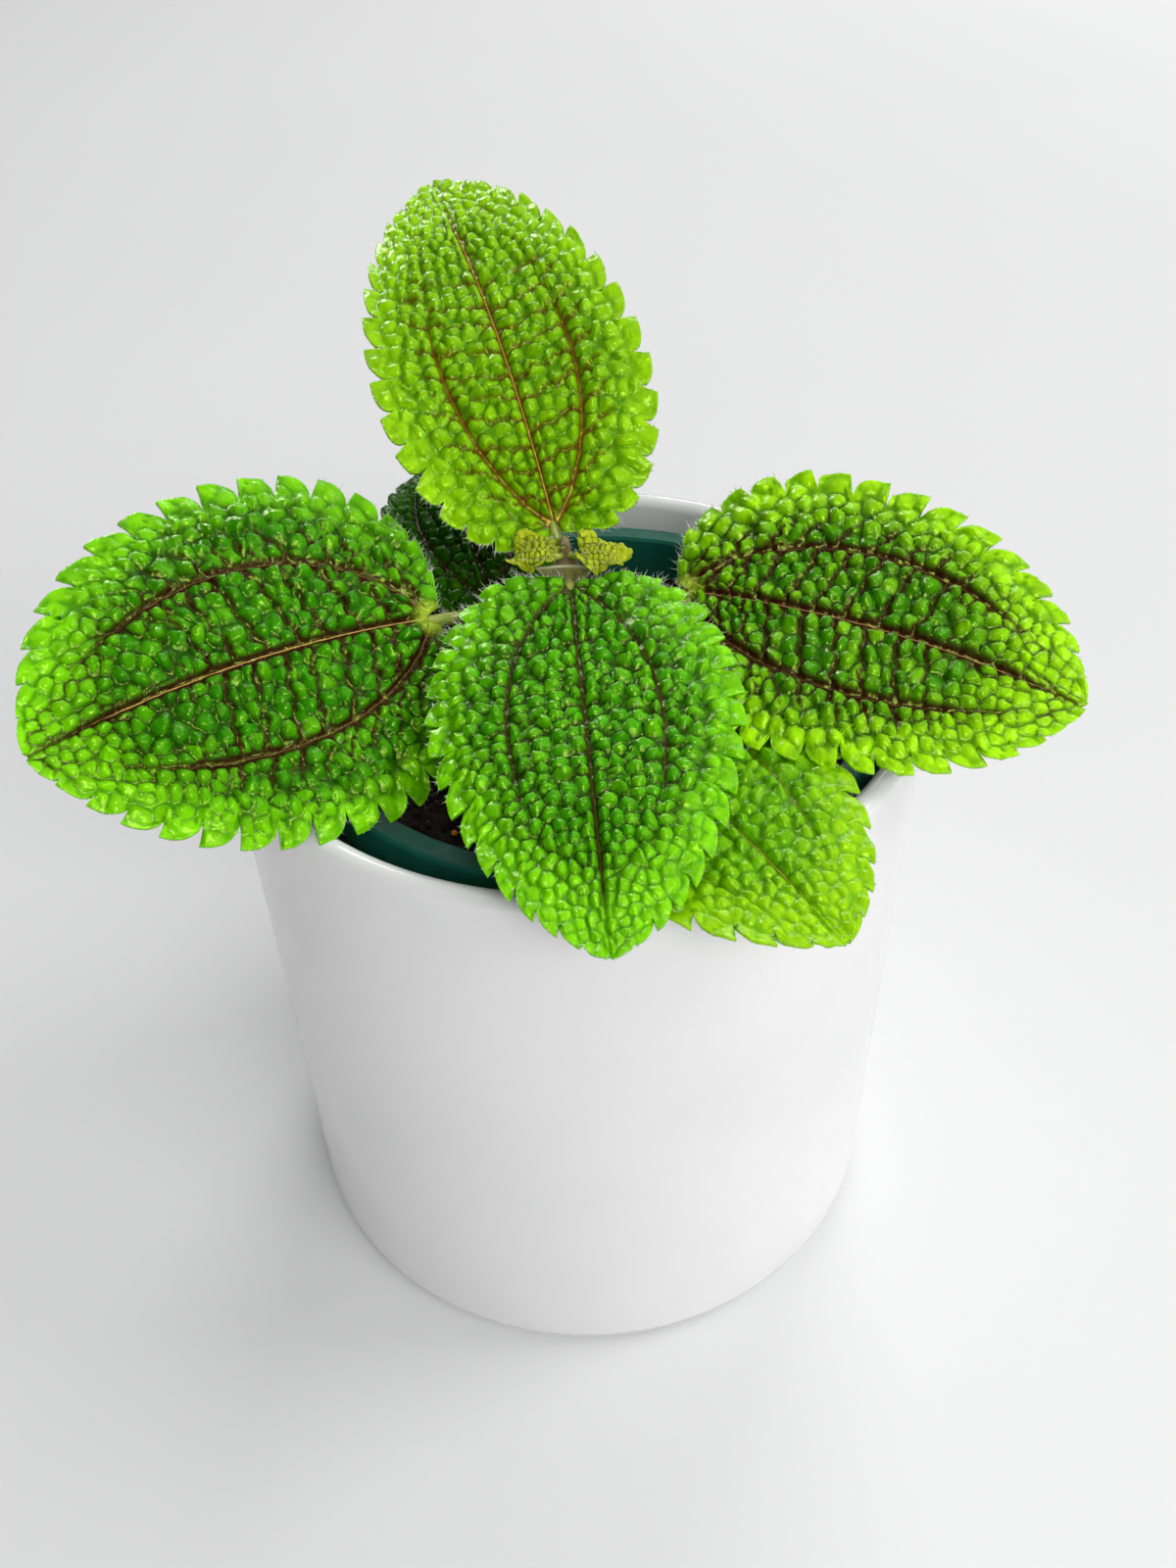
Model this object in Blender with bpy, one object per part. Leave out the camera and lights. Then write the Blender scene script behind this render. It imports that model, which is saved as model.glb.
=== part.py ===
# Friendship plant with three pairs of quilted leaves and a bud pair, growing in a green
# nursery pot that stands inside a white cover pot. Metres, +Z up, origin at the middle of
# the cover pot's foot, and -Y towards the side that the leaves lean to.

import math

import bmesh
import bpy
import numpy as np
from mathutils import Vector

MM = 0.001

# Cover pot, in millimetres
COVER_HEIGHT = 126.0
COVER_TOP_RADIUS = 62.5
COVER_FOOT_RADIUS = 61.0
COVER_WALL = 4.2
COVER_FLOOR = 6.0
COVER_EDGE_ROUND = 4.0
POT_SIDES = 48

# Nursery pot, in millimetres
REST_GAP = 0.3
NURSERY_OFFSET_X = 2.6
NURSERY_RIM_Z = 122.0
NURSERY_RIM_RADIUS = 53.5
NURSERY_LIP = 4.6
NURSERY_SKIRT = 7.0
NURSERY_WALL = 1.3
NURSERY_FOOT_RADIUS = 39.0
NURSERY_BASE_Z = COVER_FLOOR + REST_GAP
DRAIN_HOLES = 5
DRAIN_RADIUS = 4.0
DRAIN_CIRCLE = 26.0
DRAIN_SIDES = 16

# Soil, in millimetres
SOIL_EDGE_Z = 114.0
SOIL_MOUND = 2.0
SOIL_LUMP = 0.7
SOIL_RINGS = 7
SOIL_SIDES = 40

# Stem: height of each leaf node and the stem's half thickness there, in millimetres
STEM_POINTS = [
    (2.0, 3.0, 97.0, 3.2),
    (1.4, 2.0, 114.0, 3.1),
    (0.6, 0.8, 124.0, 2.6),
    (0.2, 0.2, 128.0, 3.1),
    (0.0, 0.0, 132.5, 2.3),
    (-0.3, 0.0, 137.0, 2.9),
    (-0.7, 0.2, 140.8, 2.1),
    (-1.0, 0.4, 144.6, 2.6),
    (-1.3, 0.8, 148.4, 1.7),
    (-1.6, 1.4, 151.6, 1.1),
]
STEM_SIDES = 12
STEM_CLEARANCE = 0.3

# Leaf blade
BLADE_THICKNESS = 0.75
TEETH_PER_SIDE = 15
EGG_SKEW = 0.22
LOBE_DEPTH = 0.05
LOBE_REACH = 0.08
MIDDLE = 0.45
TOOTH_DEPTH = 0.09
TOOTH_FORWARD = 0.4
RELIEF = 1.0
LATERAL_VEIN = 0.5
COLUMN_STOPS = (0.0, 0.14, 0.31, LATERAL_VEIN, 0.68, 0.85, 1.0)
PETIOLE_RADIUS = 1.0
PETIOLE_SIDES = 8
PETIOLE_UNDER_BLADE = 0.16

# name, base x y z (mm), heading, rise, roll, bend (degrees), cup (1/m), length, width (mm),
# height of the stem node that bears it (mm), teeth a side
LEAVES = [
    ("leaf_back", (-3.0, 5.5, 150.0), 111.0, 50.0, 9.0, 42.0, -5.0, 75.5, 48.5, 144.0, TEETH_PER_SIDE),
    ("leaf_left", (-22.0, -7.0, 140.5), 218.0, 15.0, 35.0, 22.0, 6.0, 73.0, 63.0, 137.0, TEETH_PER_SIDE),
    ("leaf_front", (0.0, -7.5, 147.0), -83.0, -8.0, -2.0, 14.0, 8.4, 70.0, 51.0, 143.4, TEETH_PER_SIDE),
    ("leaf_right", (19.0, -3.0, 142.5), -20.0, 6.0, -24.0, 26.0, -2.0, 67.0, 55.0, 137.0, TEETH_PER_SIDE),
    ("leaf_low_front", (2.0, -17.0, 127.8), -55.0, 10.5, -3.0, 24.0, 1.0, 63.0, 50.0, 128.0, TEETH_PER_SIDE),
    ("leaf_low_back", (-15.0, 9.0, 133.0), 108.0, 20.0, 6.0, 38.0, 4.0, 52.0, 34.0, 128.0, 12),
    ("bud_leaf_left", (-4.6, -1.2, 150.2), 176.0, 32.0, 16.0, 110.0, 60.0, 9.0, 8.0, 148.0, 6),
    ("bud_leaf_right", (2.6, -1.2, 150.2), 2.0, 30.0, -18.0, 90.0, 60.0, 9.0, 8.0, 148.0, 6),
]
BUD_BLADE_THICKNESS = 0.6
BUD_LENGTH_LIMIT = 20.0

# Scale (stipule) between the bud leaves and the front leaf, in millimetres
STIPULE_WIDTH = 6.2
STIPULE_HEIGHT = 3.6
STIPULE_THICKNESS = 0.7
STIPULE_BASE = (-1.2, -1.7, 147.6)

MATERIALS = {
    "white_glaze": ((0.88, 0.88, 0.87), 0.3),
    "green_plastic": ((0.01, 0.10, 0.07), 0.4),
    "potting_mix": ((0.03, 0.025, 0.02), 0.95),
    "stem_skin": ((0.30, 0.25, 0.10), 0.6),
    "leaf_green": ((0.12, 0.42, 0.02), 0.4),
    "old_leaf_green": ((0.03, 0.12, 0.02), 0.5),
    "bud_green": ((0.45, 0.50, 0.04), 0.5),
}


def clear_scene():
    for obj in list(bpy.data.objects):
        bpy.data.objects.remove(obj)


def material(name):
    found = bpy.data.materials.get(name)
    if found:
        return found
    colour, roughness = MATERIALS[name]
    made = bpy.data.materials.new(name)
    made.use_nodes = True
    shader = made.node_tree.nodes["Principled BSDF"]
    shader.inputs["Base Color"].default_value = (*colour, 1.0)
    shader.inputs["Roughness"].default_value = roughness
    return made


def add_object(name, vertices, faces, material_name, smooth=True):
    """A mesh object from points in millimetres, with its faces turned outwards."""
    mesh = bpy.data.meshes.new(name)
    mesh.from_pydata([Vector(v) * MM for v in vertices], [], faces)
    work = bmesh.new()
    work.from_mesh(mesh)
    bmesh.ops.recalc_face_normals(work, faces=work.faces)
    work.to_mesh(mesh)
    work.free()
    if smooth:
        mesh.shade_smooth()
    obj = bpy.data.objects.new(name, mesh)
    bpy.context.scene.collection.objects.link(obj)
    obj.data.materials.append(material(material_name))
    return obj


def add_helper(name, vertices, faces):
    """A cutter or a joined-in shape, which isn't a piece by itself."""
    obj = add_object(name, vertices, faces, "stem_skin", smooth=False)
    obj.hide_render = True
    obj.display_type = "WIRE"
    return obj


def boolean(obj, other, operation):
    step = obj.modifiers.new(f"{operation.lower()}_{other.name}", "BOOLEAN")
    step.operation = operation
    step.solver = "EXACT"
    step.object = other


def turned(profile, sides, centre_x=0.0):
    """Vertices and faces of a closed profile of (radius, z) turned about Z. Radius 0 ends are poles."""
    vertices, rings = [], []
    for radius, z in profile:
        if radius == 0:
            rings.append([len(vertices)] * sides)
            vertices.append((centre_x, 0.0, z))
            continue
        rings.append(list(range(len(vertices), len(vertices) + sides)))
        for k in range(sides):
            turn = math.tau * k / sides
            vertices.append((centre_x + radius * math.cos(turn), radius * math.sin(turn), z))
    faces = []
    for low, high in zip(rings, rings[1:]):
        for k in range(sides):
            j = (k + 1) % sides
            corners = [low[k], low[j], high[j], high[k]]
            faces.append([c for i, c in enumerate(corners) if c not in corners[:i]])
    return vertices, faces


def arc(centre, radius, start, end, steps):
    """Points of (radius, z) round a fillet, from one angle to another in degrees."""
    turns = np.radians(np.linspace(start, end, steps + 1))
    return [(centre[0] + radius * math.cos(t), centre[1] + radius * math.sin(t)) for t in turns]


def cover_radius(z):
    share = z / COVER_HEIGHT
    return COVER_FOOT_RADIUS + share * (COVER_TOP_RADIUS - COVER_FOOT_RADIUS)


def build_cover_pot():
    lip = COVER_WALL / 2
    lip_z = COVER_HEIGHT - lip
    inner_floor = cover_radius(COVER_FLOOR) - COVER_WALL
    edge, middle = COVER_EDGE_ROUND, COVER_HEIGHT / 2
    profile = [(0, 0)]
    profile += arc((COVER_FOOT_RADIUS - edge, edge), edge, -90, 0, 4)
    profile += [(cover_radius(middle), middle)]
    profile += arc((cover_radius(lip_z) - lip, lip_z), lip, 0, 180, 6)
    profile += [(cover_radius(middle) - COVER_WALL, middle)]
    profile += arc((inner_floor - edge, COVER_FLOOR + edge), edge, 0, -90, 3)
    profile += [(0, COVER_FLOOR)]
    vertices, faces = turned(profile, POT_SIDES)
    return add_object("cover_pot", vertices, faces, "white_glaze")


def nursery_wall_radius(z):
    """Outside radius of the nursery pot's tapered wall."""
    top = NURSERY_RIM_RADIUS - NURSERY_LIP + NURSERY_WALL
    share = (z - NURSERY_BASE_Z) / (NURSERY_RIM_Z - NURSERY_BASE_Z)
    return NURSERY_FOOT_RADIUS + share * (top - NURSERY_FOOT_RADIUS)


def drain_cutter():
    vertices, faces = [], []
    for k in range(DRAIN_HOLES):
        turn = math.tau * k / DRAIN_HOLES
        x, y = DRAIN_CIRCLE * math.cos(turn), DRAIN_CIRCLE * math.sin(turn)
        low, high = NURSERY_BASE_Z - 2, NURSERY_BASE_Z + NURSERY_WALL + 2
        tube, sides = turned([(0, low), (DRAIN_RADIUS, low), (DRAIN_RADIUS, high), (0, high)], DRAIN_SIDES)
        first = len(vertices)
        vertices += [(NURSERY_OFFSET_X + x + p[0], y + p[1], p[2]) for p in tube]
        faces += [[first + i for i in face] for face in sides]
    return add_helper("drain_cutter", vertices, faces)


def build_nursery_pot():
    top, wall = NURSERY_RIM_Z, NURSERY_WALL
    under_lip = top - wall
    profile = [
        (0, NURSERY_BASE_Z),
        (NURSERY_FOOT_RADIUS - 1, NURSERY_BASE_Z),
        (NURSERY_FOOT_RADIUS, NURSERY_BASE_Z + 1),
        (nursery_wall_radius(under_lip), under_lip),
        (NURSERY_RIM_RADIUS - wall, under_lip),
        (NURSERY_RIM_RADIUS - wall, top - NURSERY_SKIRT),
        (NURSERY_RIM_RADIUS, top - NURSERY_SKIRT),
    ]
    profile += arc((NURSERY_RIM_RADIUS - wall / 2, top - wall / 2), wall / 2, 0, 90, 2)
    profile += [
        (nursery_wall_radius(top) - wall + 0.5, top),
        (nursery_wall_radius(top) - wall, top - 0.5),
        (nursery_wall_radius(NURSERY_BASE_Z + wall) - wall, NURSERY_BASE_Z + wall),
        (0, NURSERY_BASE_Z + wall),
    ]
    vertices, faces = turned(profile, POT_SIDES, NURSERY_OFFSET_X)
    pot = add_object("nursery_pot", vertices, faces, "green_plastic")
    boolean(pot, drain_cutter(), "DIFFERENCE")
    return pot


def soil_height(x, y, radius):
    """Height of the soil: a low mound with small lumps that fade out at the pot's wall."""
    share = min(math.hypot(x - NURSERY_OFFSET_X, y) / radius, 1.0)
    lumps = math.sin(0.55 * x + 1.3 * math.sin(0.31 * y)) * math.cos(0.49 * y + 0.9 * math.sin(0.37 * x))
    return SOIL_EDGE_Z + SOIL_MOUND * (1 - share**2) + SOIL_LUMP * lumps * (1 - share**6)


def build_soil(stem_sleeve):
    wall = NURSERY_WALL + REST_GAP
    top_radius = nursery_wall_radius(SOIL_EDGE_Z) - wall
    base_z = NURSERY_BASE_Z + wall
    foot_radius = nursery_wall_radius(base_z) - wall - 0.2
    vertices = [(NURSERY_OFFSET_X, 0.0, base_z)]
    rings = []
    for radius, on_top in [(foot_radius, False)] + [
        (top_radius * (SOIL_RINGS - k) / SOIL_RINGS, True) for k in range(SOIL_RINGS)
    ]:
        rings.append(list(range(len(vertices), len(vertices) + SOIL_SIDES)))
        for k in range(SOIL_SIDES):
            turn = math.tau * k / SOIL_SIDES
            x, y = NURSERY_OFFSET_X + radius * math.cos(turn), radius * math.sin(turn)
            vertices.append((x, y, soil_height(x, y, top_radius) if on_top else base_z))
    vertices.append((NURSERY_OFFSET_X, 0.0, soil_height(NURSERY_OFFSET_X, 0.0, top_radius)))
    faces = []
    for k in range(SOIL_SIDES):
        j = (k + 1) % SOIL_SIDES
        faces.append([0, rings[0][j], rings[0][k]])
        faces.append([len(vertices) - 1, rings[-1][k], rings[-1][j]])
        for low, high in zip(rings, rings[1:]):
            faces.append([low[k], low[j], high[j]])
            faces.append([low[k], high[j], high[k]])
    soil = add_object("soil", vertices, faces, "potting_mix", smooth=False)
    boolean(soil, stem_sleeve, "DIFFERENCE")
    return soil


def tube(points, radii, sides):
    """Vertices and faces of a closed tube through points, with a radius at each."""
    points = [Vector(p) for p in points]
    vertices, faces = [], []
    across = None
    for i, (point, radius) in enumerate(zip(points, radii)):
        along = (points[min(i + 1, len(points) - 1)] - points[max(i - 1, 0)]).normalized()
        seed = across if across is not None else Vector((1, 0, 0)) if abs(along.x) < 0.8 else Vector((0, 1, 0))
        across = (seed - along * seed.dot(along)).normalized()
        other = along.cross(across)
        for k in range(sides):
            turn = math.tau * k / sides
            vertices.append(tuple(point + radius * (across * math.cos(turn) + other * math.sin(turn))))
    for i in range(len(points) - 1):
        for k in range(sides):
            j = (k + 1) % sides
            low, high = i * sides, (i + 1) * sides
            faces.append([low + k, low + j, high + j, high + k])
    faces.append(list(range(sides))[::-1])
    faces.append([(len(points) - 1) * sides + k for k in range(sides)])
    return vertices, faces


def stem_at(z):
    """The stem's centre at a height, in millimetres."""
    heights = [p[2] for p in STEM_POINTS]
    return tuple(float(np.interp(z, heights, [p[k] for p in STEM_POINTS])) for k in range(3))


def build_stem():
    vertices, faces = tube([p[:3] for p in STEM_POINTS], [p[3] for p in STEM_POINTS], STEM_SIDES)
    stem = add_object("stem", vertices, faces, "stem_skin")
    boolean(stem, stipule_helper(), "UNION")
    return stem


def stem_sleeve():
    """The stem a little thicker, which cuts the soil's hole and the ends of the leaf stalks."""
    points = [(p[0], p[1], p[2]) for p in STEM_POINTS]
    points[0] = (points[0][0], points[0][1], points[0][2] - STEM_CLEARANCE)
    points[-1] = (points[-1][0], points[-1][1], points[-1][2] + STEM_CLEARANCE)
    radii = [p[3] + STEM_CLEARANCE for p in STEM_POINTS]
    sleeve = add_helper("stem_sleeve", *tube(points, radii, STEM_SIDES))
    boolean(sleeve, stipule_helper("stipule_room", STEM_CLEARANCE), "UNION")
    return sleeve


def stipule_helper(name="stipule_shape", extra=0.0):
    """A cupped, three-cornered scale with its wide edge up and its point at the front leaf's stalk.
    extra is what it's made larger by on each side, for the room that the leaves leave to it."""
    rows, columns = 4, 6
    vertices = []
    for face in (0, 1):
        for i in range(rows + 1):
            up = i / rows
            half = STIPULE_WIDTH / 2 * (0.2 + 0.8 * up) + extra
            for k in range(columns + 1):
                side = 2 * k / columns - 1
                x = STIPULE_BASE[0] + half * side
                y = STIPULE_BASE[1] - 1.3 * up + 1.6 * side**2 * up
                y += (STIPULE_THICKNESS + extra) if face else -extra
                z = STIPULE_BASE[2] + STIPULE_HEIGHT * up + extra * (2 * up - 1)
                vertices.append((x, y, z))
    return add_helper(name, vertices, slab_faces(rows, columns))


def slab_faces(rows, columns):
    """Faces of a thin slab of two like grids: outer grid first, inner grid second."""
    count = (rows + 1) * (columns + 1)
    faces = []
    for i in range(rows):
        for k in range(columns):
            a = i * (columns + 1) + k
            b, c, d = a + 1, a + columns + 2, a + columns + 1
            faces += [[a, b, c], [a, c, d]]
            faces += [[count + a, count + c, count + b], [count + a, count + d, count + c]]
    edge = [k for k in range(columns + 1)]
    edge += [i * (columns + 1) + columns for i in range(1, rows + 1)]
    edge += [rows * (columns + 1) + k for k in range(columns - 1, -1, -1)]
    edge += [i * (columns + 1) for i in range(rows - 1, 0, -1)]
    for a, b in zip(edge, edge[1:] + edge[:1]):
        faces += [[a, count + a, count + b], [a, count + b, b]]
    return faces


def edge_place(share):
    """The blade's even edge, without teeth, as shares of (width, length)."""
    phi = math.pi * (1 - min(share, 1.0))
    x = math.sin(phi) * (1 - EGG_SKEW * math.cos(phi)) / (2 + EGG_SKEW**2)
    y = 0.475 + 0.525 * math.cos(phi) + LOBE_DEPTH * math.exp(-((share / LOBE_REACH) ** 2))
    return x, y


def blade_place(share, side, tooth, step):
    """Flat place on the blade as shares of (width, length).

    share runs 0 to 1 from the stalk to the tip, and side runs -1 to 1 across. tooth is 0 at a notch
    of the edge and 1 at a tooth's point, and step is one row's part of the length.
    """
    out = abs(side)
    even_x, even_y = edge_place(share)
    cut_x, cut_y = edge_place(share + TOOTH_FORWARD * step * tooth)
    inset = 1 - TOOTH_DEPTH * (1 - tooth) * math.sin(math.pi * share) ** 1.6
    cut_x, cut_y = cut_x * inset, MIDDLE + (cut_y - MIDDLE) * inset
    edge_x = even_x + out**3 * (cut_x - even_x)
    edge_y = even_y + out**3 * (cut_y - even_y)
    mix = out**2
    return math.copysign(out * edge_x, side), (1 - mix) * share**1.12 + mix * edge_y


def leaf_frames(base, heading, rise, roll, bend, length, steps=40):
    """Points along the midrib with the directions along, across and out of the blade."""
    low = -0.12
    shares = np.linspace(low, 1.06, steps)
    heading, rise, roll, bend = (math.radians(a) for a in (heading, rise, roll, bend))
    level = np.array([math.cos(heading), math.sin(heading), 0.0])
    up = np.array([0.0, 0.0, 1.0])
    tilt = rise - bend * np.clip(shares, 0, None)
    along = np.cos(tilt)[:, None] * level + np.sin(tilt)[:, None] * up
    places = np.zeros((steps, 3))
    for i in range(1, steps):
        places[i] = places[i - 1] + 0.5 * (along[i] + along[i - 1]) * (shares[i] - shares[i - 1]) * length
    start = np.array([np.interp(0.0, shares, places[:, k]) for k in range(3)])
    places += np.array(base) - start
    right = np.cross(level, up)
    outward = np.cross(right, along)
    across = math.cos(roll) * right + math.sin(roll) * outward
    return shares, places, across, np.cross(across, along)


def on_leaf(frames, x, y, width, length, cup, lift):
    """World place of a flat blade place (x, y as shares), lifted off the blade by lift."""
    shares, places, across, outward = frames
    point = np.array([np.interp(y, shares, places[:, k]) for k in range(3)])
    side = np.array([np.interp(y, shares, across[:, k]) for k in range(3)])
    out = np.array([np.interp(y, shares, outward[:, k]) for k in range(3)])
    distance = x * width
    turn = cup * MM * distance
    if abs(turn) > 1e-6:
        flat, drop = math.sin(turn) / (cup * MM), (1 - math.cos(turn)) / (cup * MM)
    else:
        flat, drop = distance, 0.0
    normal = out * math.cos(turn) + side * math.sin(turn)
    return tuple(point + side * flat - out * drop + normal * lift)


def relief(row, column, side, share, scale):
    """Height of the quilting: sunk on the three long veins, raised in between like cushions."""
    if COLUMN_STOPS[column] in (0.0, LATERAL_VEIN):
        return -0.5 * scale
    if abs(side) > 0.99:
        return 0.0
    fade = min(1.0, 4 * share) * min(1.0, 5 * (1 - share))
    return scale * fade * (1.0 if (row + column) % 2 else -0.35)


def build_leaf(entry, sleeve):
    name, base, heading, rise, roll, bend, cup, length, width, node_z, teeth = entry
    young = length < BUD_LENGTH_LIMIT
    thickness = BUD_BLADE_THICKNESS if young else BLADE_THICKNESS
    scale = RELIEF * (0.35 if young else 1.0)
    stops = COLUMN_STOPS[::3] if young else COLUMN_STOPS
    frames = leaf_frames(base, heading, rise, roll, bend, length)
    sides = [-s for s in stops[:0:-1]] + list(stops)
    half = len(stops) - 1
    rows, columns = 2 * teeth, len(sides) - 1
    vertices = []
    for lower in (0, 1):
        for i in range(rows + 1):
            share = 0.012 + (0.99 - 0.012) * i / rows
            tooth = i % 2
            for k, side in enumerate(sides):
                x, y = blade_place(share, side, tooth, 0.978 / rows)
                lift = relief(i, abs(k - half), side, share, scale) - lower * thickness
                vertices.append(on_leaf(frames, x, y, width, length, cup, lift))
    material_name = "bud_green" if young else "old_leaf_green" if name == "leaf_low_back" else "leaf_green"
    leaf = add_object(name, vertices, slab_faces(rows, columns), material_name)
    boolean(leaf, petiole_helper(name, frames, width, length, cup, node_z, young), "UNION")
    boolean(leaf, sleeve, "DIFFERENCE")
    return leaf


def petiole_helper(name, frames, width, length, cup, node_z, young):
    """The stalk: from inside the stem in a curve to the blade, and on under the midrib as a rib."""
    radius = PETIOLE_RADIUS * (0.6 if young else 1.0)
    below = -0.5 * radius
    rib = [
        on_leaf(frames, 0.0, y, width, length, cup, below - 0.3)
        for y in (PETIOLE_UNDER_BLADE, 0.08, 0.02)
    ]
    start = Vector(stem_at(node_z))
    end = Vector(rib[-1])
    lead = (end - Vector(rib[0])).normalized()
    reach = (end - start).length
    pull_end = end + lead * reach * 0.4
    pull_start = start + Vector((end.x - start.x, end.y - start.y, reach * 0.25)).normalized() * reach * 0.4
    steps = 6
    curve = []
    for i in range(steps + 1):
        t = i / steps
        u = 1 - t
        curve.append(u**3 * end + 3 * u * u * t * pull_end + 3 * u * t * t * pull_start + t**3 * start)
    points = rib[:-1] + [tuple(p) for p in curve]
    radii = [radius * 0.45, radius * 0.8] + [radius] * (steps + 1)
    return add_helper(f"{name}_stalk", *tube(points, radii, PETIOLE_SIDES))


def main():
    clear_scene()
    sleeve = stem_sleeve()
    build_cover_pot()
    build_nursery_pot()
    build_soil(sleeve)
    build_stem()
    for entry in LEAVES:
        build_leaf(entry, sleeve)


main()
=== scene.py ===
import math
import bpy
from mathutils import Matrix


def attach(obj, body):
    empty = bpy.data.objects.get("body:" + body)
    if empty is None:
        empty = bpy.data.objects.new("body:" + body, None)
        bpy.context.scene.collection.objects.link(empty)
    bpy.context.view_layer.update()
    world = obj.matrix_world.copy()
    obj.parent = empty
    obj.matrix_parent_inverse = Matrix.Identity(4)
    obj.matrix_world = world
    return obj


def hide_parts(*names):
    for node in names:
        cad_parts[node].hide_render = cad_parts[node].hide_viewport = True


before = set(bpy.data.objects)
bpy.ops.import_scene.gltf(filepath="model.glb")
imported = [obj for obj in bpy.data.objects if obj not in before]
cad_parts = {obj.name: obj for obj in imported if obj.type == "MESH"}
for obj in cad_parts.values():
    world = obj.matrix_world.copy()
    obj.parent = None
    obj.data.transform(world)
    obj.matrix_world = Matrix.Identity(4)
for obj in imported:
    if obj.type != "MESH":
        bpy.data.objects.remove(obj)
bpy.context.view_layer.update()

from types import SimpleNamespace
from typing import NamedTuple

import bmesh
import bpy
import numpy as np
from mathutils import Matrix, Vector

MM = 0.001
RANDOM = np.random.default_rng(11)

# Camera at the photo's viewing angle: millimetres for its place, lens and sensor, and degrees
CAMERA_PLACE = (8.8, -215.1, 278.8)
CAMERA_YAW = -1.91
CAMERA_PITCH = 40.22
CAMERA_ROLL = -1.76
CAMERA_LENS = 33.75
CAMERA_SENSOR = 36.0

# Outline of a leaf blade, as shares of its width and length
EGG_SKEW = 0.22
LOBE_DEPTH = 0.05
LOBE_REACH = 0.08
TIP_POINT = 0.022
TIP_REACH = 0.07
BLADE_MIDDLE = 0.45
MIDRIB_START = 0.03
FIRST_SHARE = 0.012
LAST_SHARE = 0.992

# Teeth of the margin: depth as a share of the blade, and the rest as shares of one tooth
TOOTH_DEPTH = 0.14
TOOTH_PEAK = 0.70
TOOTH_LEAN = 0.28
TOOTH_BELLY = 0.65

# Grid of a blade: rows for each tooth, and the column that follows a long side vein
ROWS_PER_TOOTH = 10
FEWER_ROWS_PER_TOOTH = 8
COLUMN_OF_VEIN = 0.5
COLUMNS = (24, 26)
FEWER_COLUMNS = (14, 15)

# Quilting and thicknesses, in millimetres, and how steeply the cross veins slant inside and outside
# the long side veins
CUSHION_SIZE = 3.0
CUSHION_HEIGHT = 1.6
CROSS_VEIN_GAP = 5.0
CROSS_VEIN_SLANT = (0.25, 0.6)
BLADE_THICKNESS = 0.7
YOUNG_THICKNESS = 0.5
HAIR_THICKNESS = 0.045
STEM_HAIR_THICKNESS = 0.035

# Leaf stalk: its radius, the shares of the blade's length at which it lies under the blade, and how far
# under, in millimetres
PETIOLE_RADIUS = 1.0
PETIOLE_UNDER_BLADE = (0.16, 0.09, MIDRIB_START)
PETIOLE_DEPTHS = (-2.3, -2.4, -2.1)

# Middle line of the stem (x, y, z) and its radius, in millimetres, from inside the soil to the tip
STEM_POINTS = [
    (2.0, 3.0, 97.0, 3.2),
    (1.4, 2.0, 114.0, 3.1),
    (0.6, 0.8, 124.0, 2.6),
    (0.2, 0.2, 128.0, 3.1),
    (0.0, 0.0, 132.5, 2.3),
    (-0.3, 0.0, 137.0, 2.9),
    (-0.7, 0.2, 140.8, 2.1),
    (-1.0, 0.4, 144.6, 2.6),
    (-1.2, 0.4, 147.4, 1.4),
    (-1.0, -0.6, 151.2, 0.7),
]

# Cover pot, in millimetres
POT_FOOT_RADIUS = 61.0
POT_FOOT_ROUND = 4.0
POT_LIP_RADIUS = 62.47
POT_LIP_HEIGHT = 123.9
POT_LIP_ROUND = 2.1
POT_WALL = 4.2
POT_FLOOR = 6.0
POT_INNER_FLARE = 1.5 / 126
POT_CORNER_RADIUS = 52.87

# Potting mix, in millimetres: its middle's x, its top and foot radii, and the heights of its top and foot;
# then size, two slopes and phase of each set of lumps, and how far out the loose bits lie
SOIL_X = 2.6
SOIL_RADIUS = 47.8
SOIL_FOOT_RADIUS = 37.6
SOIL_TOP = 114.0
SOIL_FOOT = 7.9
SOIL_LUMPS = ((0.5, 1.3, 0.6, 1.0), (0.4, -0.9, 1.9, 2.0), (0.3, 2.9, 1.7, 0.4), (0.22, -3.7, 3.1, 5.0))
CRUMB_REACH = 46.3

# Kinds of loose bits on the potting mix, by material number: how many, and least and greatest size
BARK, STRAW, FEED = 1, 2, 3
CRUMBS = {BARK: (900, 0.5, 1.7), STRAW: (150, 0.25, 1.0), FEED: (22, 0.4, 0.8)}

# Soft lights: name, place, target and size in metres, power in watts, and whether only gloss sees it
LIGHTS = [
    ("key", (2.5, 0.5, 2.2), (0, 0, 0.1), (1.5, 1.5), 37.5, False),
    ("front", (0.5, -1.7, 1.5), (0, 0, 0.05), (1.2, 0.8), 21.5, False),
    ("side", (1.5, -1.3, 1.2), (0, 0, 0.05), (1.0, 0.8), 12.0, False),
    ("top", (0.0, 0.2, 2.4), (0, 0, 0), (2.0, 2.0), 12.5, False),
    ("far", (0.6, 2.2, 1.6), (0.3, 1.2, 0), (1.2, 0.8), 24.0, False),
    ("front_glints", (0.3, -0.9, 1.1), (0, 0, 0.15), (0.4, 0.4), 12.0, True),
    ("glints", (-0.7, 1.4, 1.2), (0, 0, 0.13), (0.7, 0.7), 25.0, True),
]

COLOUR = "NodeSocketColor"
NUMBER = "NodeSocketFloat"
VECTOR = "NodeSocketVector"


def rgb(red, green, blue):
    return (red, green, blue, 1.0)


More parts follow.
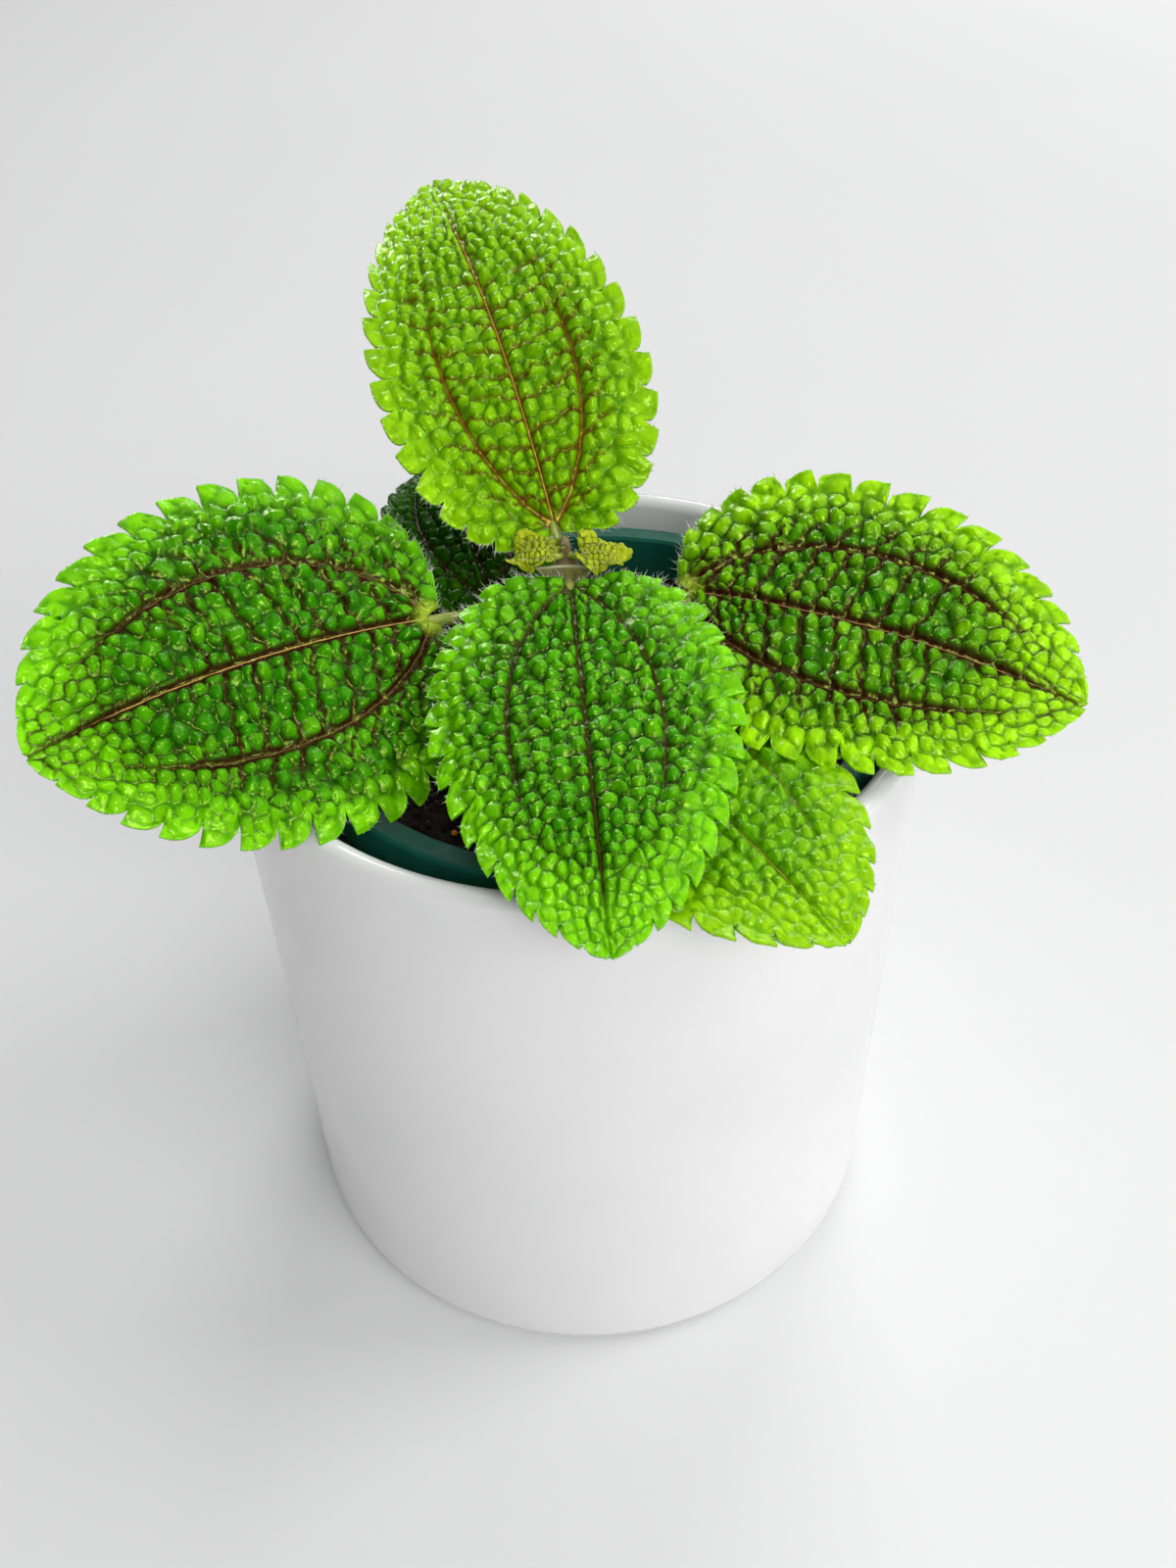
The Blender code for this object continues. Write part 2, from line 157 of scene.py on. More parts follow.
class Look(NamedTuple):
    """What sets one leaf's colours and quilting apart from another's."""

    # groove: painted shade in the hollows between cushions, along with the darker net of small veins there
    groove: tuple
    cushion: tuple
    margin: tuple
    channel: tuple
    line: tuple
    channel_strength: float
    cross_tint: float
    channel_mm: float
    margin_reach: float = 10.0
    groove_reach: float = 7.0
    stalk_green: float = 0.0
    gloss: float = 0.32
    coat: float = 0.05
    vein_end: float = 0.84
    cushion_size: float = CUSHION_SIZE
    cushion_height: float = CUSHION_HEIGHT
    slot: str = "leaf_green"
    young: bool = False


LOOKS = {
    "bright": Look(
        groove=rgb(0.055, 0.21, 0.001),
        cushion=rgb(0.22, 0.52, 0.002),
        margin=rgb(0.32, 0.68, 0.002),
        channel=rgb(0.12, 0.020, 0.002),
        line=rgb(0.66, 0.36, 0.08),
        channel_strength=0.8,
        cross_tint=0.55,
        channel_mm=0.5,
        vein_end=0.68,
    ),
    "strong": Look(
        groove=rgb(0.003, 0.040, 0.001),
        cushion=rgb(0.030, 0.27, 0.001),
        margin=rgb(0.22, 0.72, 0.002),
        channel=rgb(0.030, 0.005, 0.003),
        line=rgb(0.60, 0.36, 0.10),
        channel_strength=1.0,
        cross_tint=1.0,
        channel_mm=1.0,
        stalk_green=0.85,
    ),
    # A lighter copy of the strong look, for the leaf on the right that the light falls on more: painted
    # light
    "strong_painted_light": Look(
        groove=rgb(0.004, 0.050, 0.001),
        cushion=rgb(0.045, 0.29, 0.001),
        margin=rgb(0.42, 0.92, 0.002),
        channel=rgb(0.035, 0.006, 0.004),
        line=rgb(0.45, 0.24, 0.10),
        channel_strength=1.0,
        cross_tint=1.0,
        channel_mm=1.1,
        margin_reach=13.0,
        stalk_green=0.85,
    ),
    "plain": Look(
        groove=rgb(0.005, 0.060, 0.001),
        cushion=rgb(0.060, 0.39, 0.002),
        margin=rgb(0.23, 0.74, 0.002),
        channel=rgb(0.028, 0.009, 0.003),
        line=rgb(0.06, 0.025, 0.01),
        channel_strength=0.9,
        cross_tint=0.35,
        channel_mm=0.5,
        vein_end=0.76,
        cushion_size=2.7,
    ),
    "pale": Look(
        groove=rgb(0.060, 0.25, 0.001),
        cushion=rgb(0.14, 0.46, 0.002),
        margin=rgb(0.36, 0.74, 0.003),
        channel=rgb(0.09, 0.12, 0.003),
        line=rgb(0.34, 0.30, 0.05),
        channel_strength=0.6,
        cross_tint=0.15,
        channel_mm=0.5,
        cushion_height=1.3,
    ),
    "old": Look(
        groove=rgb(0.003, 0.028, 0.001),
        cushion=rgb(0.012, 0.095, 0.001),
        margin=rgb(0.03, 0.15, 0.002),
        channel=rgb(0.03, 0.009, 0.003),
        line=rgb(0.06, 0.04, 0.01),
        channel_strength=0.6,
        cross_tint=0.3,
        channel_mm=0.6,
        gloss=0.05,
        coat=0.0,
        slot="old_leaf_green",
    ),
    "bud": Look(
        groove=rgb(0.045, 0.07, 0.002),
        cushion=rgb(0.27, 0.38, 0.006),
        margin=rgb(0.48, 0.56, 0.02),
        channel=rgb(0.14, 0.12, 0.01),
        line=rgb(0.40, 0.38, 0.05),
        channel_strength=0.2,
        cross_tint=0.0,
        channel_mm=0.3,
        groove_reach=1.5,
        coat=0.0,
        cushion_size=1.15,
        cushion_height=1.1,
        slot="bud_green",
        young=True,
    ),
}


class Leaf(NamedTuple):
    """A leaf's place and form: base and sizes in millimetres, angles in degrees, and cup in 1/m."""

    name: str
    look: str
    base: tuple
    heading: float
    rise: float
    roll: float
    bend: float
    cup: float
    length: float
    width: float
    stem_height: float
    teeth: int
    sweep: float = 0.0
    swell: float = 0.0


LEAVES = [
    Leaf(
        "leaf_back", "bright", base=(-2.5, 4.5, 149.0), heading=111.0, rise=50.0, roll=9.0, bend=42.0,
        cup=-5.0, length=79.3, width=48.5, stem_height=144.0, teeth=17, sweep=0.6, swell=0.02,
    ),
    Leaf(
        "leaf_left", "strong", base=(-22.0, -7.0, 140.5), heading=216.0, rise=15.0, roll=36.0, bend=22.0,
        cup=4.0, length=70.5, width=64.5, stem_height=137.0, teeth=17, sweep=-1.0, swell=0.10,
    ),
    Leaf(
        "leaf_front", "plain", base=(-0.2, -5.9, 147.0), heading=-84.5, rise=-8.0, roll=-2.0, bend=14.0,
        cup=8.4, length=70.5, width=51.0, stem_height=143.4, teeth=18,
    ),
    Leaf(
        "leaf_right", "strong_painted_light", base=(17.2, -2.4, 142.5), heading=-20.0, rise=6.0, roll=-24.0, bend=26.0,
        cup=-2.0, length=69.5, width=55.0, stem_height=137.0, teeth=17, sweep=-0.6, swell=0.13,
    ),
    Leaf(
        "leaf_low_front", "pale", base=(2.0, -17.0, 127.8), heading=-54.0, rise=10.5, roll=-3.0, bend=24.0,
        cup=1.0, length=64.5, width=52.0, stem_height=128.0, teeth=14,
    ),
    Leaf(
        "leaf_low_back", "old", base=(-15.0, 9.0, 133.0), heading=108.0, rise=20.0, roll=6.0, bend=38.0,
        cup=4.0, length=52.0, width=34.0, stem_height=128.0, teeth=12,
    ),
    Leaf(
        "bud_leaf_left", "bud", base=(-2.0, -2.0, 149.4), heading=172.0, rise=34.0, roll=8.0, bend=95.0,
        cup=40.0, length=9.6, width=10.0, stem_height=148.0, teeth=7, swell=0.1,
    ),
    Leaf(
        "bud_leaf_right", "bud", base=(1.4, -2.0, 149.2), heading=2.0, rise=30.0, roll=-10.0, bend=85.0,
        cup=40.0, length=8.8, width=9.2, stem_height=148.0, teeth=7, swell=0.1,
    ),
]


def smooth_step(low, high, value):
    share = np.clip((value - low) / (high - low), 0, 1)
    return share * share * (3 - 2 * share)


def add_object(name, vertices, faces, slot, *materials):
    """A smooth-shaded piece from points in millimetres."""
    mesh = bpy.data.meshes.new(name)
    vertices = np.asarray(vertices, float) * MM
    mesh.from_pydata(vertices.tolist(), [], faces)
    mesh.shade_smooth()
    for made in materials:
        mesh.materials.append(made)
    obj = bpy.data.objects.new(name, mesh)
    bpy.context.scene.collection.objects.link(obj)
    return obj


def stand_for(piece, node):
    """The piece takes the place of a CAD node on the object's one body."""
    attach(piece, "root")
    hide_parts(node)


def add_values(obj, **values):
    """Stores one number per point under each name, for the materials to read."""
    for name, numbers in values.items():
        layer = obj.data.attributes.new(name, "FLOAT", "POINT")
        layer.data.foreach_set("value", np.ascontiguousarray(numbers, np.float32))


def shifted(faces, first):
    """The same faces, for points that come after the first ones."""
    return [[first + i for i in face] for face in faces]


class Nodes:
    """A short way to write a node tree."""

    def __init__(self, tree):
        self.tree = tree

    def add(self, kind, inputs=(), **settings):
        node = self.tree.nodes.new(kind)
        for key, value in settings.items():
            setattr(node, key, value)
        for key, value in dict(inputs).items():
            self.put(node.inputs[key], value)
        return node

    def put(self, socket, value):
        if isinstance(value, bpy.types.NodeSocket):
            self.tree.links.new(value, socket)
        elif isinstance(value, bpy.types.Node):
            self.tree.links.new(value.outputs[0], socket)
        else:
            socket.default_value = value

    def effect(self, group, inputs):
        """A shared effect with this material's own values: its outputs."""
        return self.add("ShaderNodeGroup", inputs, node_tree=group).outputs

    def place(self):
        return self.add("ShaderNodeTexCoord").outputs["Object"]

    def value(self, name):
        return self.add("ShaderNodeAttribute", attribute_name=name).outputs["Fac"]

    def math(self, operation, a, b=0.0, clamp=False):
        return self.add("ShaderNodeMath", {0: a, 1: b}, operation=operation, use_clamp=clamp).outputs[0]

    def span(self, value, low, high, to_low=0.0, to_high=1.0):
        """value mapped smoothly from low..high to to_low..to_high."""
        node = self.add("ShaderNodeMapRange", interpolation_type="SMOOTHSTEP")
        for key, number in zip(range(5), (value, low, high, to_low, to_high)):
            self.put(node.inputs[key], number)
        return node.outputs[0]

    def mix(self, factor, a, b):
        return self.add("ShaderNodeMix", {0: factor, 6: a, 7: b}, data_type="RGBA").outputs[2]

    def noise(self, scale, detail=2.0, rough=0.5):
        inputs = {"Vector": self.place(), "Scale": scale, "Detail": detail, "Roughness": rough}
        return self.add("ShaderNodeTexNoise", inputs).outputs["Fac"]

    def bump(self, height, strength, distance, normal=None):
        node = self.add("ShaderNodeBump", {"Height": height, "Strength": strength, "Distance": distance})
        if normal is not None:
            self.put(node.inputs["Normal"], normal)
        return node.outputs[0]


def new_group(name, inputs, outputs):
    """A shared effect with named inputs and outputs: its tree, its nodes, what it is given, its results."""
    tree = bpy.data.node_groups.new(name, "ShaderNodeTree")
    for sockets, end in ((inputs, "INPUT"), (outputs, "OUTPUT")):
        for label, kind in sockets.items():
            tree.interface.new_socket(label, in_out=end, socket_type=kind)
    nodes = Nodes(tree)
    given = nodes.add("NodeGroupInput").outputs
    results = nodes.add("NodeGroupOutput").inputs
    return tree, nodes, given, results


def make_mottle():
    """Noise between a dark and a light colour, and the same noise as a height."""
    numbers = dict.fromkeys(("Scale", "Detail", "Roughness", "Low", "High"), NUMBER)
    inputs = {"Dark": COLOUR, "Light": COLOUR, **numbers}
    tree, nodes, given, results = new_group("mottle", inputs, {"Colour": COLOUR, "Height": NUMBER})
    tone = nodes.noise(given["Scale"], given["Detail"], given["Roughness"])
    amount = nodes.span(tone, given["Low"], given["High"])
    nodes.put(results["Colour"], nodes.mix(amount, given["Dark"], given["Light"]))
    nodes.put(results["Height"], tone)
    return tree


def make_flecks():
    """Scattered flecks or patches of one colour over another, and their noise as a height."""
    numbers = dict.fromkeys(("Scale", "Detail", "Low", "High", "Strength"), NUMBER)
    inputs = {"Under": COLOUR, "Fleck": COLOUR, **numbers}
    tree, nodes, given, results = new_group("flecks", inputs, {"Colour": COLOUR, "Height": NUMBER})
    tone = nodes.noise(given["Scale"], given["Detail"])
    amount = nodes.span(tone, given["Low"], given["High"], 0.0, given["Strength"])
    nodes.put(results["Colour"], nodes.mix(amount, given["Under"], given["Fleck"]))
    nodes.put(results["Height"], tone)
    return tree


def make_soft_tone():
    """A gentle change between two near colours."""
    inputs = {"First": COLOUR, "Second": COLOUR, "Scale": NUMBER}
    tree, nodes, given, results = new_group("soft_tone", inputs, {"Colour": COLOUR})
    nodes.put(results["Colour"], nodes.mix(nodes.noise(given["Scale"]), given["First"], given["Second"]))
    return tree


def quilt_colour(nodes, given):
    """Cushions that are dark in the grooves and pale towards the margin; the darkening down each cushion's
    sides is painted shade, and the dark grooves are painted shade along with the darker net of small veins.
    """
    edge = nodes.value("edge_mm")
    outer = nodes.span(edge, 0.5, given["Margin Reach"], 1.0, 0.0)
    body = nodes.mix(outer, given["Cushion"], given["Margin"])
    body = nodes.mix(nodes.math("MULTIPLY", nodes.value("shade"), 0.4), body, given["Margin"])
    body = nodes.mix(nodes.span(nodes.noise(260.0, 1.0), 0.3, 0.75, 0.0, 0.35), body, given["Groove"])
    between = nodes.mix(0.3, given["Cushion"], given["Margin"])
    # Groove colour, lighter near the margin: painted shade in the hollows, along with the darker net of
    # small veins
    low = nodes.mix(nodes.span(edge, 0.5, given["Groove Reach"], 0.75, 0.0), given["Groove"], between)
    # Painted shade: each cushion darkens from its top towards its edges
    body = nodes.mix(nodes.span(nodes.value("dome"), 0.2, 1.0, 0.65, 0.0), body, low)
    return nodes.mix(nodes.span(nodes.value("cell"), 0.05, 0.8), low, body)


def cross_vein_colour(nodes, given, colour):
    """Red-brown in the grooves near the long veins and along the cross veins."""
    vein = nodes.value("vein_mm")
    hollow = nodes.span(nodes.value("cell"), 0.05, 0.6, 1.0, 0.0)
    near = nodes.span(vein, 0.3, 4.5, given["Cross Tint"], 0.0)
    colour = nodes.mix(nodes.math("MULTIPLY", near, hollow), colour, given["Channel"])
    across = nodes.span(nodes.value("rung_mm"), 0.2, 0.85, 0.95, 0.0)
    across = nodes.math("MULTIPLY", across, given["Cross Tint"])
    across = nodes.math("MULTIPLY", across, nodes.span(vein, 2.0, 9.0, 1.0, 0.5))
    return nodes.mix(across, colour, given["Channel"])


def long_vein_colour(nodes, given, colour):
    """The channel of each long vein, with a thin pale line that is strongest on the midrib."""
    vein = nodes.value("vein_mm")
    start = nodes.math("MULTIPLY", given["Channel Width"], 0.4)
    end = nodes.math("MULTIPLY", given["Channel Width"], 1.3)
    channel = nodes.span(vein, start, end, given["Channel Strength"], 0.0)
    colour = nodes.mix(channel, colour, given["Channel"])
    on_midrib = nodes.span(nodes.value("mid_mm"), 1.0, 2.0, 1.0, 0.18)
    width = nodes.span(nodes.value("base_mm"), 1.0, 6.0, 0.16, 0.12)
    ridge = nodes.math("SUBTRACT", 1.0, nodes.math("DIVIDE", vein, width, clamp=True))
    ridge = nodes.math("MULTIPLY", nodes.span(ridge, 0.0, 0.6, 0.0, 0.9), on_midrib)
    return nodes.mix(ridge, colour, given["Line"])


def make_leaf_skin():
    """The upper face of a leaf: quilt with painted shade, veins, pale margin and the yellow-green end at
    its stalk.
    """
    colours = dict.fromkeys(("Groove", "Cushion", "Margin", "Channel", "Line"), COLOUR)
    strengths = dict.fromkeys(("Channel Strength", "Cross Tint", "Stalk Green"), NUMBER)
    reaches = dict.fromkeys(("Channel Width", "Margin Reach", "Groove Reach"), NUMBER)
    inputs = {**colours, **strengths, **reaches}
    outputs = {"Colour": COLOUR, "Roughness": NUMBER, "Normal": VECTOR}
    tree, nodes, given, results = new_group("leaf_skin", inputs, outputs)
    colour = quilt_colour(nodes, given)
    colour = cross_vein_colour(nodes, given, colour)
    colour = long_vein_colour(nodes, given, colour)
    stalk_end = nodes.span(nodes.value("base_mm"), 1.2, 4.0, given["Stalk Green"], 0.0)
    colour = nodes.mix(stalk_end, colour, rgb(0.36, 0.52, 0.03))
    rim = nodes.span(nodes.value("edge_mm"), 0.05, 0.5, 0.5, 0.0)
    nodes.put(results["Colour"], nodes.mix(rim, colour, given["Margin"]))
    fine = nodes.noise(1300.0, 1.0)
    nodes.put(results["Roughness"], nodes.span(fine, 0.2, 0.8, 0.20, 0.34))
    crumple = nodes.bump(nodes.noise(480.0, 1.0), 0.8, 0.0008)
    nodes.put(results["Normal"], nodes.bump(fine, 0.3, 0.0002, crumple))
    return tree


EFFECTS = SimpleNamespace(
    mottle=make_mottle(), flecks=make_flecks(), soft_tone=make_soft_tone(), leaf_skin=make_leaf_skin()
)


def new_material(name, **constants):
    """A material with these constants on its shader, its nodes, and its shader's inputs."""
    made = bpy.data.materials.new(name)
    made.use_nodes = True
    inputs = made.node_tree.nodes["Principled BSDF"].inputs
    for label, value in constants.items():
        inputs[label.replace("_", " ")].default_value = value
    return made, Nodes(made.node_tree), inputs


def mottled(nodes, dark, light, scale, detail, low=0.3, high=0.7, rough=0.5):
    numbers = {"Scale": scale, "Detail": detail, "Roughness": rough, "Low": low, "High": high}
    return nodes.effect(EFFECTS.mottle, {"Dark": dark, "Light": light, **numbers})


def flecked(nodes, under, fleck, scale, detail, low, high, strength):
    numbers = {"Scale": scale, "Detail": detail, "Low": low, "High": high, "Strength": strength}
    return nodes.effect(EFFECTS.flecks, {"Under": under, "Fleck": fleck, **numbers})


def soft_toned(nodes, first, second, scale):
    return nodes.effect(EFFECTS.soft_tone, {"First": first, "Second": second, "Scale": scale})["Colour"]


def leaf_material(name):
    look = LOOKS[name]
    made, nodes, shader = new_material(
        f"leaf_{name}",
        Specular_IOR_Level=look.gloss,
        Specular_Tint=rgb(0.70, 1.0, 0.10),
        Coat_Weight=look.coat,
        Coat_Roughness=0.16,
    )
    skin = nodes.effect(EFFECTS.leaf_skin, {
        "Groove": look.groove,
        "Cushion": look.cushion,
        "Margin": look.margin,
        "Channel": look.channel,
        "Line": look.line,
        "Channel Strength": look.channel_strength,
        "Channel Width": look.channel_mm,
        "Cross Tint": look.cross_tint,
        "Margin Reach": look.margin_reach,
        "Groove Reach": look.groove_reach,
        "Stalk Green": look.stalk_green,
    })
    nodes.put(shader["Base Color"], skin["Colour"])
    nodes.put(shader["Roughness"], skin["Roughness"])
    nodes.put(shader["Normal"], skin["Normal"])
    return made


def underside_material():
    made, nodes, shader = new_material("leaf_underside", Roughness=0.6)
    raised = nodes.span(nodes.value("cell"), 0.0, 0.7)
    vein = nodes.span(nodes.value("vein_mm"), 0.3, 1.0, 0.9, 0.0)
    colour = nodes.mix(raised, rgb(0.30, 0.40, 0.10), rgb(0.16, 0.34, 0.06))
    colour = nodes.mix(vein, colour, rgb(0.42, 0.36, 0.14))
    blush = flecked(nodes, colour, rgb(0.30, 0.12, 0.08), 120.0, 2.0, 0.4, 0.8, 0.3)
    nodes.put(shader["Base Color"], blush["Colour"])
    nodes.put(shader["Normal"], nodes.bump(nodes.noise(1200.0), 0.4, 0.0002))
    return made


def petiole_material():
    made, nodes, shader = new_material("petiole_skin", Roughness=0.45)
    streak = mottled(nodes, rgb(0.28, 0.40, 0.03), rgb(0.42, 0.42, 0.06), 500.0, 3.0, low=0.35)
    nodes.put(shader["Base Color"], streak["Colour"])
    nodes.put(shader["Normal"], nodes.bump(streak["Height"], 0.4, 0.0002))
    return made


def hair_material():
    made, nodes, shader = new_material("pale_hair", Roughness=0.4)
    nodes.put(shader["Base Color"], soft_toned(nodes, rgb(0.75, 0.80, 0.62), rgb(0.92, 0.92, 0.90), 300.0))
    return made


def stem_material():
    made, nodes, shader = new_material("stem_skin", Roughness=0.55)
    streak = mottled(nodes, rgb(0.20, 0.12, 0.05), rgb(0.42, 0.34, 0.14), 350.0, 4.0)
    height = nodes.add("ShaderNodeSeparateXYZ", {0: nodes.place()}).outputs["Z"]
    colour = nodes.mix(nodes.span(height, 0.142, 0.149), streak["Colour"], rgb(0.20, 0.15, 0.05))
    nodes.put(shader["Base Color"], colour)
    nodes.put(shader["Normal"], nodes.bump(streak["Height"], 0.6, 0.0005))
    return made


def stipule_material():
    made, nodes, shader = new_material("stipule_skin", Roughness=0.5)
    spots = mottled(nodes, rgb(0.10, 0.09, 0.015), rgb(0.20, 0.19, 0.035), 700.0, 3.0)
    rim = nodes.math("MULTIPLY", nodes.value("rim"), 0.7)
    nodes.put(shader["Base Color"], nodes.mix(rim, spots["Colour"], rgb(0.50, 0.50, 0.30)))
    return made


def glaze_material():
    made, nodes, shader = new_material("white_glaze", Coat_Weight=0.25, Coat_Roughness=0.06)
    cloud = mottled(nodes, rgb(0.80, 0.80, 0.80), rgb(0.84, 0.84, 0.835), 22.0, 3.0)
    speck = flecked(nodes, cloud["Colour"], rgb(0.45, 0.42, 0.38), 900.0, 1.0, 0.80, 0.84, 0.25)
    nodes.put(shader["Base Color"], speck["Colour"])
    nodes.put(shader["Roughness"], nodes.span(cloud["Height"], 0.2, 0.8, 0.18, 0.26))
    nodes.put(shader["Normal"], nodes.bump(cloud["Height"], 0.25, 0.0008))
    return made


def plastic_material():
    made, nodes, shader = new_material("green_plastic", Specular_IOR_Level=0.06)
    cloud = mottled(nodes, rgb(0.006, 0.080, 0.052), rgb(0.011, 0.120, 0.078), 60.0, 3.0)
    dust = flecked(nodes, cloud["Colour"], rgb(0.10, 0.13, 0.10), 700.0, 3.0, 0.62, 0.75, 0.35)
    nodes.put(shader["Base Color"], dust["Colour"])
    nodes.put(shader["Roughness"], nodes.span(dust["Height"], 0.3, 0.7, 0.3, 0.5))
    nodes.put(shader["Normal"], nodes.bump(cloud["Height"], 0.3, 0.0004))
    return made


def soil_material():
    made, nodes, shader = new_material("potting_mix", Roughness=0.9, Specular_IOR_Level=0.05)
    grain = mottled(
        nodes, rgb(0.006, 0.004, 0.003), rgb(0.045, 0.028, 0.016), 420.0, 6.0, low=0.35, rough=0.7
    )
    clump = flecked(nodes, grain["Colour"], rgb(0.02, 0.012, 0.008), 90.0, 4.0, 0.55, 0.75, 0.5)
    nodes.put(shader["Base Color"], clump["Colour"])
    nodes.put(shader["Normal"], nodes.bump(grain["Height"], 0.9, 0.0012))
    return made


def crumb_material(name, dark, light):
    made, nodes, shader = new_material(name, Roughness=0.8, Specular_IOR_Level=0.1)
    tone = mottled(nodes, dark, light, 350.0, 3.0)
    nodes.put(shader["Base Color"], tone["Colour"])
    nodes.put(shader["Normal"], nodes.bump(tone["Height"], 0.6, 0.0004))
    return made


def floor_material():
    made, nodes, shader = new_material("pale_floor", Roughness=0.85, Specular_IOR_Level=0.1)
    nodes.put(shader["Base Color"], soft_toned(nodes, rgb(0.78, 0.78, 0.785), rgb(0.82, 0.82, 0.822), 3.0))
    return made


def edge_place(share):
    """The blade's even edge, without teeth, as shares of (width, length)."""
    phi = math.pi * (1 - np.minimum(share, 1.0))
    x = np.sin(phi) * (1 - EGG_SKEW * np.cos(phi)) / (2 + EGG_SKEW**2)
    y = 0.475 + 0.525 * np.cos(phi) + LOBE_DEPTH * np.exp(-((share / LOBE_REACH) ** 2))
    return x, y


def tooth_profile(part):
    """How far out (0 at a notch, 1 at a point) and how far forward the edge is, along one tooth."""
    rise = np.clip(part / TOOTH_PEAK, 0, 1)
    fall = np.clip((1 - part) / (1 - TOOTH_PEAK), 0, 1)
    out = np.where(part <= TOOTH_PEAK, np.sin(0.5 * math.pi * rise**TOOTH_BELLY), fall)
    forward = TOOTH_LEAN * np.where(part <= TOOTH_PEAK, rise**2, fall)
    return out, forward


def lateral_side(share):
    """Where the long side veins lie, as a share of the way from the midrib to the edge."""
    return 0.44 + 0.2 * np.clip(share, 0, 1) ** 2


def side_of(column, share):
    """Share of the way to the edge at which a column lies; one column follows each long side vein."""
    lateral = lateral_side(share)
    out = np.abs(column)
    inner = out / COLUMN_OF_VEIN * lateral
    outer = lateral + (out - COLUMN_OF_VEIN) / (1 - COLUMN_OF_VEIN) * (1 - lateral)
    return np.sign(column) * np.where(out <= COLUMN_OF_VEIN, inner, outer)


def toothed_edge(share, side, teeth, tooth_size):
    """The blade's edge with its teeth, as shares of (width, length)."""
    step = (LAST_SHARE - FIRST_SHARE) / teeth
    count = (share - FIRST_SHARE) / step
    which = np.floor(count + 1e-6)
    point, forward = tooth_profile(np.clip(count - which, 0, 1))
    x, y = edge_place(share + forward * step)
    size = tooth_size[np.sign(side).astype(int) + 1, np.clip(which.astype(int), 0, teeth)]
    depth = TOOTH_DEPTH * size * (1 - point)
    inset = 1 - depth * np.sin(math.pi * np.clip(share, 0, 1)) ** 1.1
    return x * inset, BLADE_MIDDLE + (y - BLADE_MIDDLE) * inset


def blade_flat(share, side, teeth, tooth_size):
    """Flat place on the blade, as shares of (width, length), for arrays of share and side."""
    out = np.abs(side)
    even_x, even_y = edge_place(share)
    cut_x, cut_y = toothed_edge(share, side, teeth, tooth_size)
    reach = out**5
    edge_x = even_x + reach * (cut_x - even_x)
    edge_y = even_y + reach * (cut_y - even_y)
    mix = out**2
    rib_y = MIDRIB_START + (1 - MIDRIB_START) * np.clip(share, 0, 1) ** 1.12
    tip = TIP_POINT * np.exp(-(((1 - share) / TIP_REACH) ** 2))
    return np.sign(side) * out * edge_x, (1 - mix) * rib_y + mix * edge_y + tip


def leaf_frames(leaf, steps=120):
    """Points along the midrib with the directions across and out of the blade."""
    shares = np.linspace(-0.12, 1.06, steps)
    heading, rise, roll, bend = (math.radians(a) for a in (leaf.heading, leaf.rise, leaf.roll, leaf.bend))
    level = np.array([math.cos(heading), math.sin(heading), 0.0])
    up = np.array([0.0, 0.0, 1.0])
    tilt = rise - bend * np.clip(shares, 0, None)
    along = np.cos(tilt)[:, None] * level + np.sin(tilt)[:, None] * up
    places = np.zeros((steps, 3))
    for i in range(1, steps):
        stride = (shares[i] - shares[i - 1]) * leaf.length
        places[i] = places[i - 1] + 0.5 * (along[i] + along[i - 1]) * stride
    places += np.array(leaf.base) - [np.interp(0.0, shares, places[:, k]) for k in range(3)]
    right = np.cross(level, up)
    outward = np.cross(right, along)
    across = math.cos(roll) * right + math.sin(roll) * outward
    return shares, places, across, np.cross(across, along)


def on_leaf(frames, x, y, leaf, lift):
    """World places of flat blade places (x, y as shares), and the directions out of the blade."""
    shares, places, across, outward = frames
    point, side, out = (
        np.stack([np.interp(y, shares, values[:, k]) for k in range(3)], -1)
        for values in (places, across, outward)
    )
    curve = leaf.cup * MM
    turn = curve * x * leaf.width
    flat, drop = np.sin(turn) / curve, (1 - np.cos(turn)) / curve
    normal = out * np.cos(turn)[..., None] + side * np.sin(turn)[..., None]
    placed = point + side * flat[..., None] - out * drop[..., None]
    return placed + normal * np.asarray(lift)[..., None], normal


class CrossVeins:
    """The cross veins. Each of the four strips between the long veins and the edges has its own."""

    def __init__(self, leaf, gap):
        self.gap = gap
        self.width = leaf.width
        self.marks = {}
        for zone in range(4):
            gaps = RANDOM.uniform(0.75, 1.25, int(1.6 * leaf.length / gap) + 8) * gap
            self.marks[zone] = np.cumsum(gaps) - 0.4 * leaf.length

    def number(self, x, y, share, side):
        """How many cross veins lie below a flat place in millimetres, with fractions."""
        lateral = lateral_side(share) * edge_place(share)[0] * self.width
        inner = np.minimum(np.abs(x), lateral)
        outer = np.maximum(np.abs(x) - lateral, 0)
        wiggle = 0.35 * np.sin(1.3 * x + 0.4 * y) + 0.25 * np.sin(2.9 * x)
        along = y - CROSS_VEIN_SLANT[0] * inner - CROSS_VEIN_SLANT[1] * outer + wiggle
        zone = (side > 0).astype(int) + 2 * (np.abs(side) > lateral_side(share)).astype(int)
        found = np.zeros(np.shape(along))
        for number, marks in self.marks.items():
            counted = np.interp(along, marks, np.arange(len(marks), dtype=float))
            found = np.where(zone == number, counted, found)
        return found

    def distance(self, grid):
        """Millimetres to the nearest cross vein, made larger where the cross veins fade out."""
        number = self.number(grid.x, grid.y, grid.share, grid.side)
        gone = smooth_step(0.62, 0.92, np.abs(grid.side)) + smooth_step(0.6, 0.9, grid.share)
        return np.abs(number - np.round(number)) * self.gap + 1.5 * gone


def cushion_columns(width, size):
    """Columns that the cushions' middles follow, on either side of a long side vein."""
    count = max(2, round(0.25 * width / (1.1 * size)))
    inner = [COLUMN_OF_VEIN * (k + 0.5) / count for k in range(count)]
    outer = [COLUMN_OF_VEIN + (1 - COLUMN_OF_VEIN) * (k + 0.5) / count for k in range(count)]
    return inner + outer


